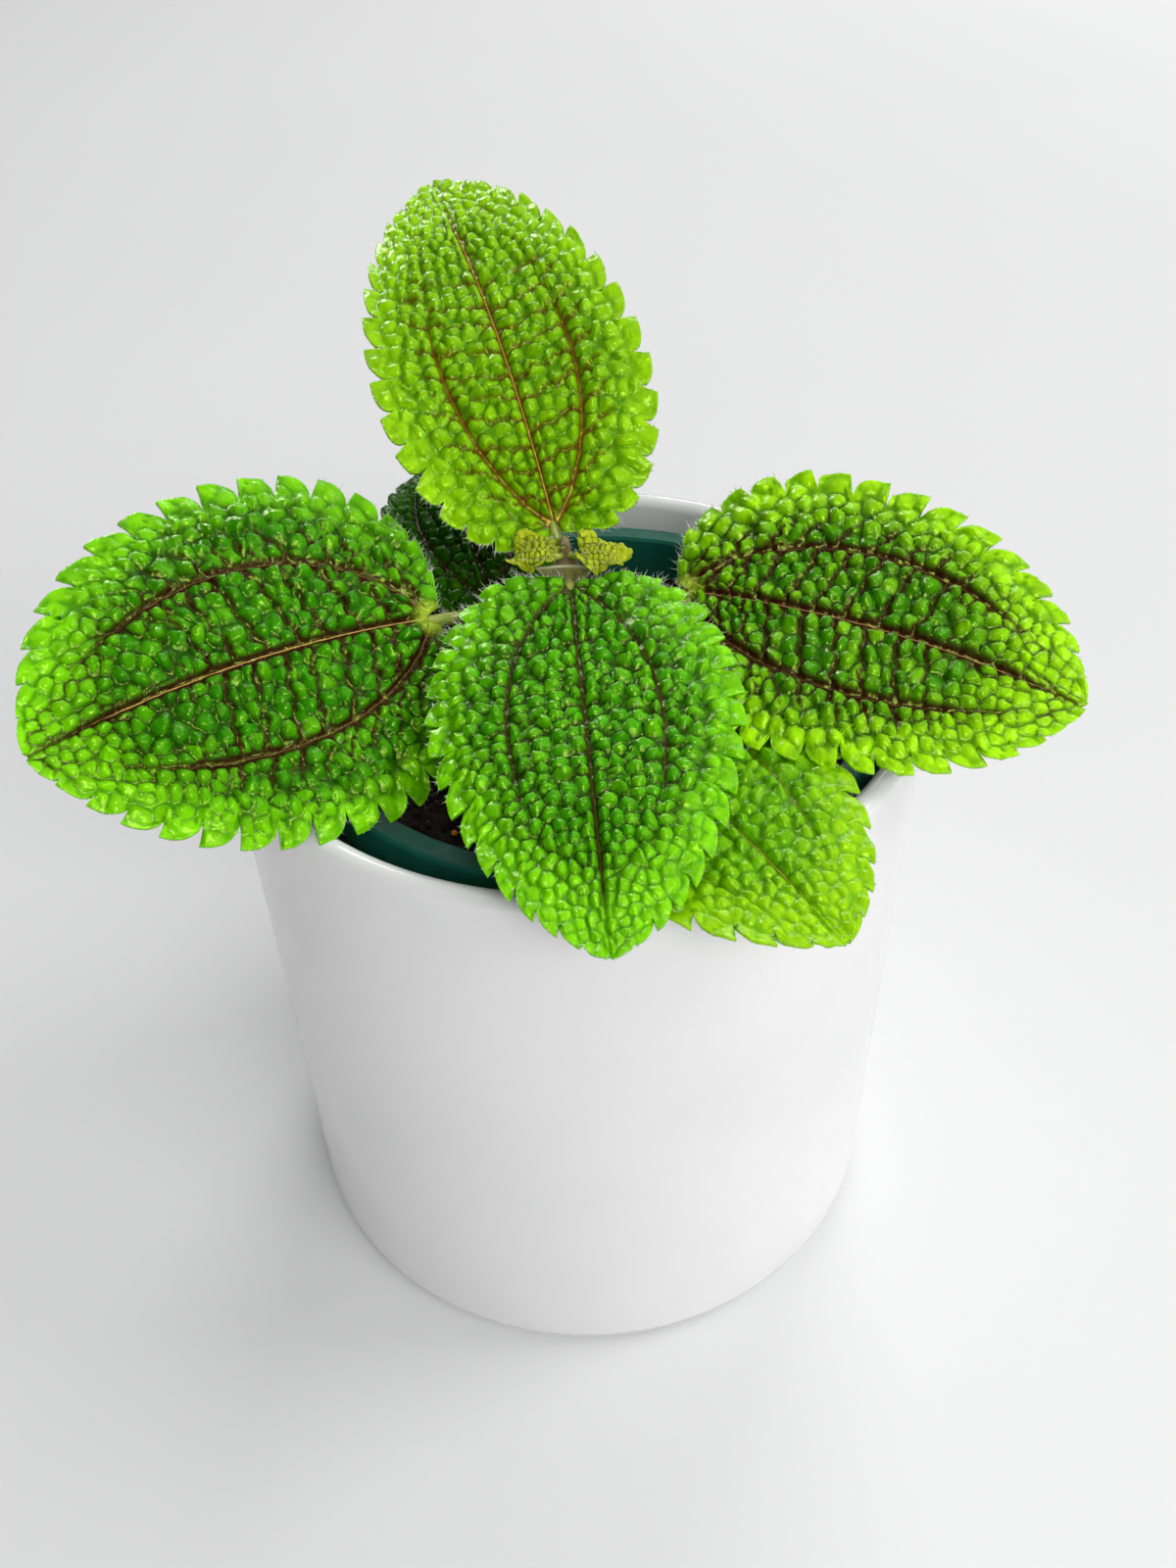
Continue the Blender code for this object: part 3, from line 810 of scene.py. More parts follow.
def shares_between(leaf, column, tooth_size, cross_veins):
    """Shares along a column at which a cushion has its middle, two between each pair of cross veins."""
    shares = np.linspace(0.012, 0.985, 300)
    sides = side_of(np.full(300, column), shares)
    x, y = blade_flat(shares, sides, leaf.teeth, tooth_size)
    numbers = cross_veins.number(x * leaf.width, y * leaf.length, shares, sides)
    numbers = np.maximum.accumulate(numbers)
    targets = np.arange(math.ceil(2 * numbers[0]) / 2 + 0.25, numbers[-1], 0.5)
    targets += RANDOM.uniform(-0.13, 0.13, len(targets))
    return np.interp(targets, numbers, shares)


def nearest(picked, place):
    """Distance from a place to the nearest middle that is already picked."""
    return np.hypot(*(np.array(picked) - place).T).min() if picked else math.inf


def cushion_middles(leaf, tooth_size, size, cross_veins):
    """Middles of the cushions between the veins, in flat millimetres, thinned out where they crowd."""
    picked = []
    for column in cushion_columns(leaf.width, size):
        for sign in (-1, 1):
            for share in shares_between(leaf, sign * column, tooth_size, cross_veins):
                side = side_of(sign * (column + RANDOM.uniform(-0.045, 0.045)), share)
                x, y = blade_flat(np.array(share), np.array(side), leaf.teeth, tooth_size)
                place = np.array([float(x) * leaf.width, float(y) * leaf.length])
                if nearest(picked, place) > 0.52 * size:
                    picked.append(place)
    return fill_gaps(leaf, tooth_size, size, picked)


def fill_gaps(leaf, tooth_size, size, picked):
    """The same middles, with more wherever none is near."""
    shares, sides = RANDOM.uniform(0.01, 0.98, 2500), RANDOM.uniform(-0.97, 0.97, 2500)
    x, y = blade_flat(shares, sides, leaf.teeth, tooth_size)
    for place in np.stack([x * leaf.width, y * leaf.length], -1):
        if nearest(picked, place) > 0.85 * size:
            picked.append(place)
    return np.array(picked)


def cushion_distances(x, y, middles):
    """Distance to the nearest cushion's middle, to the next one's, and both cushions' numbers."""
    near = np.empty(x.size)
    second = np.empty(x.size)
    which = np.empty(x.size, int)
    other = np.empty(x.size, int)
    flat_x, flat_y = x.ravel(), y.ravel()
    for start in range(0, x.size, 4096):
        part = slice(start, start + 4096)
        gap_x = flat_x[part, None] - middles[None, :, 0]
        gap_y = flat_y[part, None] - middles[None, :, 1]
        # Cushions are squarer than circles, so the distance is of a higher power than two.
        gaps = (np.abs(gap_x) ** 2.6 + np.abs(gap_y) ** 2.6) ** (1 / 2.6)
        order = np.argpartition(gaps, 1, axis=1)[:, :2]
        pair = np.take_along_axis(gaps, order, 1)
        swap = pair[:, 0] > pair[:, 1]
        near[part] = pair.min(1)
        second[part] = pair.max(1)
        which[part] = np.where(swap, order[:, 1], order[:, 0])
        other[part] = np.where(swap, order[:, 0], order[:, 1])
    return tuple(found.reshape(x.shape) for found in (near, second, which, other))


def vein_distance(grid, end):
    """Distance in millimetres to the midrib or to one of the two long side veins, which fade out."""
    lateral = np.abs(np.abs(grid.side) - lateral_side(grid.share)) * grid.half_width
    fade = smooth_step(end - 0.22, end + 0.06, grid.share)
    midrib = np.abs(grid.x) + 0.6 * smooth_step(0.8, 1.0, grid.share)
    return np.minimum(midrib, lateral + 1.1 * fade)


def column_sides(young):
    """Columns across the blade from edge to edge, with one on each long side vein."""
    inner, outer = FEWER_COLUMNS if young else COLUMNS
    crowded = 1 - (1 - np.linspace(0, 1, outer + 1)) ** 1.25
    half = np.concatenate([
        np.linspace(0, COLUMN_OF_VEIN, inner + 1)[:-1],
        COLUMN_OF_VEIN + (1 - COLUMN_OF_VEIN) * crowded,
    ])
    return np.concatenate([-half[:0:-1], half])


def blade_grid(leaf, young, tooth_size):
    """The blade's grid: shares along and across, flat places, and distances in millimetres."""
    per_tooth = FEWER_ROWS_PER_TOOTH if young else ROWS_PER_TOOTH
    shares = np.linspace(FIRST_SHARE, LAST_SHARE, leaf.teeth * per_tooth + 1)
    share, column = np.meshgrid(shares, column_sides(young), indexing="ij")
    side = side_of(column, share)
    flat_x, flat_y = blade_flat(share, side, leaf.teeth, tooth_size)
    x, y = flat_x * leaf.width, flat_y * leaf.length
    half_width = edge_place(share)[0] * leaf.width
    edge = (1 - np.abs(side)) * half_width * (0.35 + 0.65 * np.sin(math.pi * share))
    edge += 6 * (1 - smooth_step(0.04, 0.3, share)) * smooth_step(0.0, 0.06, 1 - np.abs(side))
    grid = SimpleNamespace(share=share, side=side, flat_x=flat_x, flat_y=flat_y, x=x, y=y)
    grid.half_width = half_width
    grid.edge = edge
    grid.base = np.hypot(x, y - MIDRIB_START * leaf.length)
    return grid


def groove_depth(which, other):
    """Two neighbours meet in a groove of their own depth, so some nearly merge."""
    pair = np.minimum(which, other) * 37 + np.maximum(which, other) * 101
    return 0.7 + 0.3 * (pair % 97) / 96


def cushion_facets(x, y):
    """Small flat spots that crumple the cushions."""
    return np.sin(4.4 * x + 1.9 * np.sin(1.7 * y)) * np.sin(4.1 * y + 2.1 * np.sin(1.5 * x + 1))


def quilting(leaf, look, grid, tooth_size):
    """The cushions and veins: their distances and tones, and how far each point stands out."""
    size = look.cushion_size
    cross_veins = CrossVeins(leaf, size * CROSS_VEIN_GAP / CUSHION_SIZE)
    middles = cushion_middles(leaf, tooth_size, size, cross_veins)
    near, second, which, other = cushion_distances(grid.x, grid.y, middles)
    lift = RANDOM.uniform(0.6, 1.25, len(middles))[which]
    tone = (RANDOM.uniform(0.0, 1.0, len(middles)) ** 2)[which]
    lean = RANDOM.normal(0, 0.30, (len(middles), 2))[which]
    slope = ((np.stack([grid.x, grid.y], -1) - middles[which]) * lean).sum(-1)
    rung = cross_veins.distance(grid)
    cell = 1 - (1 - smooth_step(0.0, 0.36 * size, second - near)) * groove_depth(which, other)
    cell *= smooth_step(-0.15, 0.22 * size, rung)
    dome = np.clip(1 - (near / (0.75 * size)) ** 2, 0, 1)
    vein = vein_distance(grid, look.vein_end)
    quilt = SimpleNamespace(cell=cell, dome=dome, rung=rung, tone=tone, vein=vein)
    quilt.relief = cushion_relief(look, grid, quilt, lift, np.clip(slope, -0.7, 0.7))
    return quilt


def cushion_relief(look, grid, quilt, lift, slope):
    """How far each point stands out of the blade, in millimetres: cushions up, long veins sunk in."""
    height, young = look.cushion_height, look.young
    facets = (0.06 if young else 0.18) * cushion_facets(grid.x, grid.y)
    relief = lift * quilt.cell * (height * (0.5 + 0.5 * quilt.dome) + slope + facets)
    relief *= smooth_step(0.1, 1.1, quilt.vein) * 0.9 + 0.1
    relief *= 0.4 + 0.6 * smooth_step(0.5, 8.0, grid.edge)
    relief -= 0.45 * np.exp(-((quilt.vein / 0.7) ** 2)) * (0.2 if young else 1.0)
    ends = smooth_step(0.0, 0.06, grid.share) * (1 - smooth_step(0.95, 1.0, grid.share))
    return relief * (0.3 + 0.7 * ends) - 0.3 * height


def margin_curl(grid, young):
    """How far the margin waves up and down, in millimetres."""
    waves = 2.5 * math.pi * (1.3 if young else 1.0)
    height = 1.6 if young else 0.72
    return height * np.sin(waves * grid.share + grid.side) * np.abs(grid.side) ** 3


def bent_sideways(leaf, grid):
    """The flat places across the blade, fuller towards the tip and swept to one side."""
    fuller = 1 + leaf.swell * smooth_step(0.35, 0.95, grid.flat_y)
    swept = leaf.sweep / leaf.width * smooth_step(0.0, 1.3, grid.flat_y) * grid.flat_y
    return grid.flat_x * fuller + swept


def grid_faces(rows, columns, first, flipped):
    index = first + np.arange((rows + 1) * (columns + 1)).reshape(rows + 1, columns + 1)
    corners = (index[:-1, :-1], index[:-1, 1:], index[1:, 1:], index[1:, :-1])
    quads = np.stack(corners, -1).reshape(-1, 4)
    return quads[:, ::-1] if flipped else quads


def rim_loop(rows, columns):
    index = np.arange((rows + 1) * (columns + 1)).reshape(rows + 1, columns + 1)
    return np.concatenate([index[0, :], index[1:, -1], index[-1, -2::-1], index[-2:0:-1, 0]])


def sheet_faces(rows, columns):
    """Faces of a thin solid between two grids of points: its top, its underside and its rim."""
    count = (rows + 1) * (columns + 1)
    loop = rim_loop(rows, columns)
    after = np.roll(loop, -1)
    rim = np.stack([loop, loop + count, after + count, after], -1)
    top = grid_faces(rows, columns, 0, False)
    under = grid_faces(rows, columns, count, True)
    return top.tolist(), under.tolist(), rim.tolist()


def ring_faces(rings, sides):
    """Faces between rings of points, each ring after the one before."""
    faces = []
    for i in range(rings - 1):
        for k in range(sides):
            j = (k + 1) % sides
            low, high = i * sides, (i + 1) * sides
            faces.append([low + k, low + j, high + j, high + k])
    return faces


def tube(points, radii, sides):
    """Points and faces of a closed tube."""
    points = np.asarray(points, float)
    rings = []
    across = np.array([0.3, 0.2, 1.0])
    turns = math.tau * np.arange(sides) / sides
    for i, (point, radius) in enumerate(zip(points, radii)):
        along = points[min(i + 1, len(points) - 1)] - points[max(i - 1, 0)]
        along /= np.linalg.norm(along)
        across = across - along * across.dot(along)
        across /= np.linalg.norm(across)
        other = np.cross(along, across)
        circle = np.cos(turns)[:, None] * across + np.sin(turns)[:, None] * other
        rings.append(point + radius * circle)
    faces = ring_faces(len(points), sides)
    faces.append(list(range(sides))[::-1])
    faces.append([(len(points) - 1) * sides + k for k in range(sides)])
    return np.concatenate(rings), faces


class Hairs:
    """Thin curved three-sided hairs, each given by its root, direction and length in millimetres."""

    def __init__(self, scale=1.0):
        self.scale = scale
        self.given = []

    def add(self, root, direction, length):
        self.given.append((root, direction / np.linalg.norm(direction), self.scale * length))

    def solid(self, thickness):
        """Points and faces of all the hairs, seven points each."""
        points, faces = [], []
        for number, hair in enumerate(self.given):
            points += hair_points(*hair, thickness)
            start = 7 * number
            for k in range(3):
                j = (k + 1) % 3
                faces.append([start + k, start + j, start + 3 + j, start + 3 + k])
                faces.append([start + 3 + k, start + 3 + j, start + 6])
            faces.append([start + 2, start + 1, start])
        return np.concatenate(points), faces


def hair_points(root, direction, length, thickness):
    """Two rings of three points and the tip of one hair."""
    bend = RANDOM.normal(size=3) * 0.25
    side = np.cross(direction, [0.2, 0.9, 0.35])
    side /= np.linalg.norm(side)
    other = np.cross(direction, side)
    ring = np.array([side, -0.5 * side + 0.87 * other, -0.5 * side - 0.87 * other])
    points = []
    for share, taper in ((0.0, 1.0), (0.55, 0.55)):
        middle = root + direction * length * share + bend * length * share**2
        points.append(middle + thickness * taper * ring)
    points.append((root + direction * length + bend * length)[None])
    return points


def add_margin_hairs(hairs, blade, young):
    """Hairs along the margin, longer and closer near the stalk."""
    for column, step in ((0, 1), (-1, -2)):
        edge, inner = blade.upper[:, column], blade.upper[:, step]
        for i in range(0, len(edge), 3 if young else 1):
            near_stalk = blade.grid.share[i, 0] < 0.3
            out = edge[i] - inner[i]
            out = out / (np.linalg.norm(out) + 1e-9)
            lean = out + 0.5 * blade.normal[i, column]
            for _ in range(RANDOM.poisson(2.6 if near_stalk else 0.8)):
                direction = lean + 0.35 * RANDOM.normal(size=3)
                hairs.add(edge[i] - 0.2 * out, direction, RANDOM.uniform(0.6, 1.8 if near_stalk else 1.0))


def add_cushion_hairs(hairs, blade, young):
    count = 60 if young else 170
    rows = RANDOM.integers(2, blade.upper.shape[0] - 2, count)
    columns = RANDOM.integers(2, blade.upper.shape[1] - 2, count)
    for i, k in zip(rows, columns):
        direction = blade.normal[i, k] + 0.6 * RANDOM.normal(size=3)
        hairs.add(blade.upper[i, k], direction, RANDOM.uniform(0.4, 1.0))


def add_stalk_hairs(hairs, path, radii, young):
    for _ in range(30 if young else 200):
        along = RANDOM.uniform(2, len(path) - 1.01)
        k = int(along)
        point = path[k] + (along - k) * (path[k + 1] - path[k])
        out = RANDOM.normal(size=3)
        out /= np.linalg.norm(out)
        hairs.add(point + out * radii[k] * 0.8, out, RANDOM.uniform(0.7, 1.5))


def stem_at(height):
    """The stem's middle (x, y, z) and its radius at a height, all in millimetres."""
    heights = [point[2] for point in STEM_POINTS]
    return np.array([np.interp(height, heights, [point[k] for point in STEM_POINTS]) for k in range(4)])


def petiole_path(leaf, frames, young):
    """Points of the leaf's stalk, from under its blade to the stem, and the radius at each."""
    shares = np.array(PETIOLE_UNDER_BLADE)
    depths = np.array(PETIOLE_DEPTHS) * (0.5 if young else 1.0)
    rib, _ = on_leaf(frames, np.zeros(3), shares, leaf, depths)
    start = stem_at(leaf.stem_height)[:3]
    end = rib[-1]
    lead = (end - rib[0]) / np.linalg.norm(end - rib[0])
    reach = np.linalg.norm(end - start)
    out = np.array([end[0] - start[0], end[1] - start[1], reach * 0.02])
    pull_start = start + out / np.linalg.norm(out) * reach * 0.4
    pull_end = end + lead * reach * 0.4
    t = np.linspace(0, 1, 14)[:, None]
    near_blade = (1 - t) ** 3 * end + 3 * (1 - t) ** 2 * t * pull_end
    near_stem = 3 * (1 - t) * t * t * pull_start + t**3 * start
    radius = PETIOLE_RADIUS * (0.6 if young else 1.0)
    swollen = radius * (1 + 0.12 * np.sin(np.linspace(0, 9, 14)))
    radii = np.concatenate([[radius * 0.45, radius * 0.8], swollen])
    return np.concatenate([rib[:-1], near_blade + near_stem]), radii


def leaf_blade(leaf, look):
    """The quilted blade: its grid, its quilt and the points of its two faces."""
    tooth_size = RANDOM.uniform(0.8, 1.2, (3, leaf.teeth + 1))
    frames = leaf_frames(leaf)
    grid = blade_grid(leaf, look.young, tooth_size)
    quilt = quilting(leaf, look, grid, tooth_size)
    relief = quilt.relief + margin_curl(grid, look.young)
    bent_x = bent_sideways(leaf, grid)
    thickness = YOUNG_THICKNESS if look.young else BLADE_THICKNESS
    upper, normal = on_leaf(frames, bent_x, grid.flat_y, leaf, relief)
    lower, _ = on_leaf(frames, bent_x, grid.flat_y, leaf, relief - thickness)
    return SimpleNamespace(frames=frames, grid=grid, quilt=quilt, upper=upper, lower=lower, normal=normal)


def leaf_hairs(blade, path, radii, young):
    """Points and faces of the hairs on the margin, on the cushions and along the stalk."""
    hairs = Hairs(0.5 if young else 1.0)
    add_margin_hairs(hairs, blade, young)
    add_cushion_hairs(hairs, blade, young)
    add_stalk_hairs(hairs, path, radii, young)
    return hairs.solid(HAIR_THICKNESS * (0.7 if young else 1.0))


def build_leaf(leaf, materials):
    """One leaf: its quilted blade, its stalk and its hairs in one piece."""
    look = LOOKS[leaf.look]
    blade = leaf_blade(leaf, look)
    path, radii = petiole_path(leaf, blade.frames, look.young)
    stalk, stalk_faces = tube(path, radii, 10)
    hair, hair_faces = leaf_hairs(blade, path, radii, look.young)
    top, under, rim = sheet_faces(blade.upper.shape[0] - 1, blade.upper.shape[1] - 1)
    vertices = np.concatenate([blade.upper.reshape(-1, 3), blade.lower.reshape(-1, 3), stalk, hair])
    first = 2 * blade.grid.share.size
    faces = top + under + rim + shifted(stalk_faces, first) + shifted(hair_faces, first + len(stalk))
    obj = add_object(f"{leaf.name}_fine", vertices, faces, look.slot, *materials)
    numbers = [0] * len(top) + [1] * len(under) + [0] * len(rim)
    numbers += [2] * len(stalk_faces) + [3] * len(hair_faces)
    obj.data.polygons.foreach_set("material_index", numbers)
    add_leaf_values(obj, blade, len(stalk) + len(hair))
    stand_for(obj, leaf.name)


def add_leaf_values(obj, blade, other_points):
    """What the leaf materials read: the same on both faces, and nought on the stalk and the hairs."""
    grid, quilt = blade.grid, blade.quilt
    # The dome and the cell also set the painted shade down the cushions' sides and in the grooves
    values = {"cell": quilt.cell, "dome": quilt.dome, "shade": quilt.tone}
    values.update({"rung_mm": quilt.rung, "vein_mm": quilt.vein, "mid_mm": np.abs(grid.x)})
    values.update({"edge_mm": grid.edge, "base_mm": grid.base})
    rest = np.zeros(other_points)
    add_values(obj, **{name: np.concatenate([v.ravel(), v.ravel(), rest]) for name, v in values.items()})


def build_leaves(hair):
    petiole, under = petiole_material(), underside_material()
    skins = {name: leaf_material(name) for name in LOOKS}
    for leaf in LEAVES:
        build_leaf(leaf, [skins[leaf.look], under, petiole, hair])


def stipule():
    """The leaf scale at the top of the stem: points, faces, and how near each point is to its rim."""
    rows, columns = 14, 22
    up, side = np.meshgrid(np.linspace(0, 1, rows + 1), np.linspace(-1, 1, columns + 1), indexing="ij")
    half = 4.9 * (0.10 + 0.90 * up**0.8)
    x = -1.0 + half * side
    y = -4.3 + 0.9 * up - 1.9 * side**2 * up
    z = 143.0 + 4.6 * up + 0.8 * side**2 * up
    front = np.stack([x, y, z], -1).reshape(-1, 3)
    back = front + [0, 0.55, 0.0]
    top, under, edge = sheet_faces(rows, columns)
    rim = np.maximum(smooth_step(0.88, 1.0, np.abs(side)), smooth_step(0.90, 1.0, up)).ravel()
    return np.concatenate([front, back]), top + under + edge, np.concatenate([rim, rim])


def stem_hairs(places, radii):
    hairs = Hairs()
    for _ in range(260):
        k = RANDOM.integers(30, len(places))
        turn = RANDOM.uniform(0, math.tau)
        out = np.array([math.cos(turn), math.sin(turn), RANDOM.uniform(-0.2, 0.4)])
        hairs.add(places[k, :3] + out * radii[k] * 0.95, out, RANDOM.uniform(0.6, 1.4))
    return hairs.solid(STEM_HAIR_THICKNESS)


def build_stem(hair):
    heights = np.linspace(STEM_POINTS[0][2], STEM_POINTS[-1][2], 70)
    places = np.array([stem_at(z) for z in heights])
    radii = places[:, 3] * (1 + 0.03 * np.sin(heights * 2.1))
    points, faces = tube(places[:, :3], radii, 24)
    scale, scale_faces, rim = stipule()
    hairs, hair_faces = stem_hairs(places, radii)
    vertices = np.concatenate([points, scale, hairs])
    all_faces = faces + shifted(scale_faces, len(points)) + shifted(hair_faces, len(points) + len(scale))
    materials = [stem_material(), stipule_material(), hair]
    obj = add_object("stem_fine", vertices, all_faces, "stem_skin", *materials)
    numbers = [0] * len(faces) + [1] * len(scale_faces) + [2] * len(hair_faces)
    obj.data.polygons.foreach_set("material_index", numbers)
    add_values(obj, rim=np.concatenate([np.zeros(len(points)), rim, np.zeros(len(hairs))]))
    stand_for(obj, "stem")


def turned(name, profile, sides, slot, material):
    """A piece turned about Z from (radius, z) in millimetres, whose ends lie on the axis."""
    profile = np.array(profile, float)
    turns = math.tau * np.arange(sides) / sides
    radius, height = profile[1:-1, :1], profile[1:-1, 1:]
    rings = np.stack([radius * np.cos(turns), radius * np.sin(turns), np.repeat(height, sides, 1)], -1)
    rings = rings.reshape(-1, 3)
    faces = ring_faces(len(profile) - 2, sides)
    low, high = len(rings), len(rings) + 1
    last = len(rings) - sides
    for k in range(sides):
        j = (k + 1) % sides
        faces.append([low, j, k])
        faces.append([high, last + k, last + j])
    points = np.concatenate([rings, [[0, 0, profile[0, 1]], [0, 0, profile[-1, 1]]]])
    return add_object(name, points, faces, slot, material)


def cover_pot_profile():
    """The pot's section from the middle of its underside, up its wall, over its lip and down inside."""
    quarter = np.linspace(0, math.pi / 2, 10)
    half_turn = np.linspace(0, math.pi, 19)
    foot = POT_FOOT_RADIUS - POT_FOOT_ROUND
    lip = POT_LIP_RADIUS - POT_LIP_ROUND
    flare = POT_LIP_RADIUS - POT_FOOT_RADIUS
    profile = [(0, 0), (foot, 0)]
    profile += [
        (foot + POT_FOOT_ROUND * math.sin(a), POT_FOOT_ROUND * (1 - math.cos(a))) for a in quarter[1:]
    ]
    profile += [(POT_FOOT_RADIUS + flare * z / POT_LIP_HEIGHT, z) for z in np.linspace(8, 122, 24)]
    profile += [
        (lip + POT_LIP_ROUND * math.cos(a), POT_LIP_HEIGHT + POT_LIP_ROUND * math.sin(a)) for a in half_turn
    ]
    inside = POT_FOOT_RADIUS - POT_WALL
    profile += [(inside + POT_INNER_FLARE * z, z) for z in np.linspace(120, 12, 12)]
    profile += [
        (POT_CORNER_RADIUS + POT_FOOT_ROUND * math.cos(a), POT_FLOOR + POT_FOOT_ROUND * (1 - math.sin(a)))
        for a in np.linspace(0, math.pi / 2, 8)
    ]
    return profile + [(0, POT_FLOOR)]


def build_cover_pot():
    pot = turned("cover_pot_fine", cover_pot_profile(), 160, "white_glaze", glaze_material())
    stand_for(pot, "cover_pot")


def paint_nursery_pot():
    """The grower's pot keeps its CAD shape."""
    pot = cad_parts["nursery_pot"]
    pot.data.materials.clear()
    pot.data.materials.append(plastic_material())
    for polygon in pot.data.polygons:
        polygon.material_index = 0


def soil_height(x, y):
    """Height of the soil's top in millimetres."""
    share = np.clip(np.hypot(x - SOIL_X, y) / SOIL_RADIUS, 0, 1)
    lumps = np.sin(0.55 * x + 1.3 * np.sin(0.31 * y)) * np.cos(0.49 * y + 0.9 * np.sin(0.37 * x))
    crumbs = sum(
        size * np.sin(a * x + b * y + c) * np.cos(b * x - a * y + 2 * c) for size, a, b, c in SOIL_LUMPS
    )
    return SOIL_TOP + 2 * (1 - share**2) + 0.7 * lumps * (1 - share**6) + crumbs * (1 - share**10)


def soil_body(sides=180, rings=70):
    """Points and faces of the potting mix, with its lumpy top."""
    turns = math.tau * np.arange(sides) / sides
    radius, turn = np.meshgrid(SOIL_RADIUS * np.linspace(1, 0.012, rings), turns, indexing="ij")
    x, y = SOIL_X + radius * np.cos(turn), radius * np.sin(turn)
    top = np.stack([x, y, soil_height(x, y)], -1).reshape(-1, 3)
    foot_x, foot_y = SOIL_X + SOIL_FOOT_RADIUS * np.cos(turns), SOIL_FOOT_RADIUS * np.sin(turns)
    foot = np.stack([foot_x, foot_y, np.full(sides, SOIL_FOOT)], -1)
    middles = [[SOIL_X, 0, soil_height(SOIL_X, 0.0)], [SOIL_X, 0, SOIL_FOOT]]
    points = np.concatenate([foot, top, middles])
    faces = ring_faces(rings + 1, sides)
    last = rings * sides
    for k in range(sides):
        j = (k + 1) % sides
        faces.append([len(points) - 2, last + k, last + j])
        faces.append([len(points) - 1, j, k])
    return points, faces


def crumb_place(kind):
    """Where a loose bit lies on the soil; the orange grains lie together at the front."""
    radius = CRUMB_REACH * math.sqrt(RANDOM.uniform(0.01, 1))
    turn = RANDOM.uniform(0, math.tau)
    if kind == FEED:
        radius, turn = RANDOM.uniform(37.0, 40.5), math.radians(RANDOM.normal(246, 5))
    return SOIL_X + radius * math.cos(turn), radius * math.sin(turn)


def soil_crumbs():
    """Loose bits on the soil: bark, straw-coloured flecks and a few orange grains."""
    work = bmesh.new()
    bmesh.ops.create_icosphere(work, subdivisions=1, radius=1.0)
    ball = np.array([v.co[:] for v in work.verts])
    ball_faces = [[v.index for v in f.verts] for f in work.faces]
    work.free()
    points, faces, numbers = [], [], []
    for kind, (count, small, large) in CRUMBS.items():
        for _ in range(count):
            x, y = crumb_place(kind)
            size = RANDOM.uniform(small, large)
            shape = ball * RANDOM.uniform(0.7, 1.25, ball.shape) * size * RANDOM.uniform(0.35, 1.0, 3)
            spin = np.array(Matrix.Rotation(RANDOM.uniform(0, 6), 3, Vector(RANDOM.normal(size=3))))
            faces += shifted(ball_faces, len(ball) * len(points))
            points.append(shape @ spin.T + [x, y, soil_height(x, y) + 0.25 * size])
            numbers += [kind] * len(ball_faces)
    return np.concatenate(points), faces, numbers


def build_soil():
    points, faces = soil_body()
    crumbs, crumb_faces, numbers = soil_crumbs()
    materials = [
        soil_material(),
        crumb_material("bark_crumb", rgb(0.006, 0.004, 0.003), rgb(0.030, 0.017, 0.010)),
        crumb_material("straw_fleck", rgb(0.24, 0.15, 0.03), rgb(0.60, 0.42, 0.10)),
        crumb_material("feed_grain", rgb(0.65, 0.22, 0.02), rgb(0.85, 0.38, 0.05)),
    ]
    vertices = np.concatenate([points, crumbs])
    all_faces = faces + shifted(crumb_faces, len(points))
    obj = add_object("soil_fine", vertices, all_faces, "potting_mix", *materials)
    obj.data.polygons.foreach_set("material_index", [0] * len(faces) + numbers)
    stand_for(obj, "soil")


def build_floor():
    """A wide pale floor, a little under the pot so that the two faces don't coincide."""
    size, drop = 2500.0, -0.1
    corners = [(-size, -size, drop), (size, -size, drop), (size, size, drop), (-size, size, drop)]
    add_object("floor", corners, [[0, 1, 2, 3]], None, floor_material())


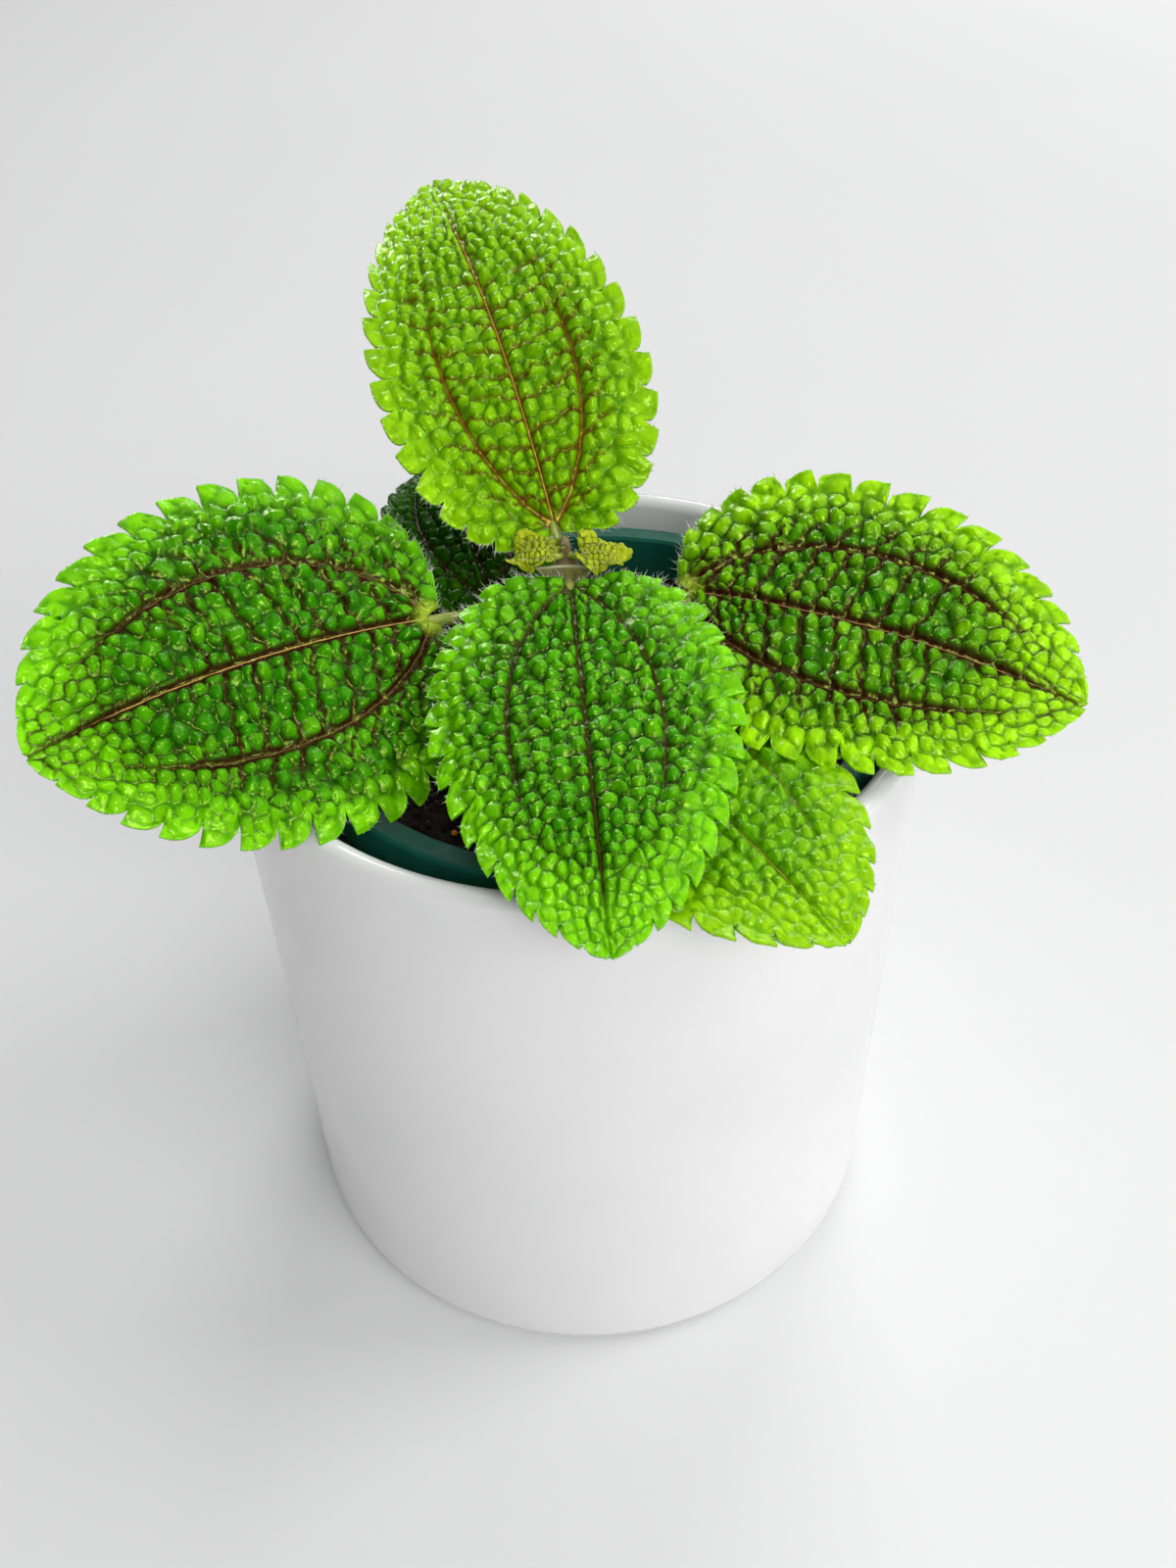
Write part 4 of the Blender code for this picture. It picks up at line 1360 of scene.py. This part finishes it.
def add_light(name, place, target, size, power, gloss_only):
    light = bpy.data.lights.new(name, "AREA")
    light.shape = "RECTANGLE"
    light.size, light.size_y = size
    light.energy = power
    obj = bpy.data.objects.new(name, light)
    obj.location = Vector(place)
    obj.rotation_euler = (Vector(target) - Vector(place)).to_track_quat("-Z", "Y").to_euler()
    obj.visible_diffuse = not gloss_only
    bpy.context.scene.collection.objects.link(obj)


def build_world():
    """Faint light from all round, and a paler grey where the camera sees past the floor."""
    world = bpy.data.worlds.new("studio")
    bpy.context.scene.world = world
    world.use_nodes = True
    nodes = Nodes(world.node_tree)
    lit = world.node_tree.nodes["Background"]
    lit.inputs["Color"].default_value = rgb(0.97, 0.985, 1.0)
    lit.inputs["Strength"].default_value = 0.10
    seen = nodes.add("ShaderNodeBackground", {"Color": rgb(0.80, 0.80, 0.81), "Strength": 1.0})
    direct = nodes.add("ShaderNodeLightPath").outputs["Is Camera Ray"]
    either = nodes.add("ShaderNodeMixShader", {0: direct, 1: lit, 2: seen})
    nodes.put(world.node_tree.nodes["World Output"].inputs["Surface"], either)


def camera_matrix():
    """The camera's place and turn; its roll leans the picture to one side."""
    yaw, pitch, roll = (math.radians(a) for a in (CAMERA_YAW, CAMERA_PITCH, CAMERA_ROLL))
    flat, drop = math.cos(pitch), math.sin(pitch)
    forward = Vector((math.sin(yaw) * flat, math.cos(yaw) * flat, -drop))
    level = Vector((math.cos(yaw), -math.sin(yaw), 0))
    above = level.cross(forward)
    right = level * math.cos(roll) + above * math.sin(roll)
    up = above * math.cos(roll) - level * math.sin(roll)
    turn = Matrix((right, up, -forward)).transposed()
    return Matrix.Translation(Vector(CAMERA_PLACE) * MM) @ turn.to_4x4()


def build_camera():
    data = bpy.data.cameras.new("camera")
    data.sensor_fit = "VERTICAL"
    data.sensor_height = CAMERA_SENSOR
    data.lens = CAMERA_LENS
    data.clip_start = 0.01
    camera = bpy.data.objects.new("camera", data)
    bpy.context.scene.collection.objects.link(camera)
    camera.matrix_world = camera_matrix()
    bpy.context.scene.camera = camera


def main():
    hair = hair_material()
    build_leaves(hair)
    build_stem(hair)
    build_cover_pot()
    paint_nursery_pot()
    build_soil()
    build_floor()
    for light in LIGHTS:
        add_light(*light)
    build_world()
    build_camera()
    bpy.context.scene.view_settings.view_transform = "Standard"


main()
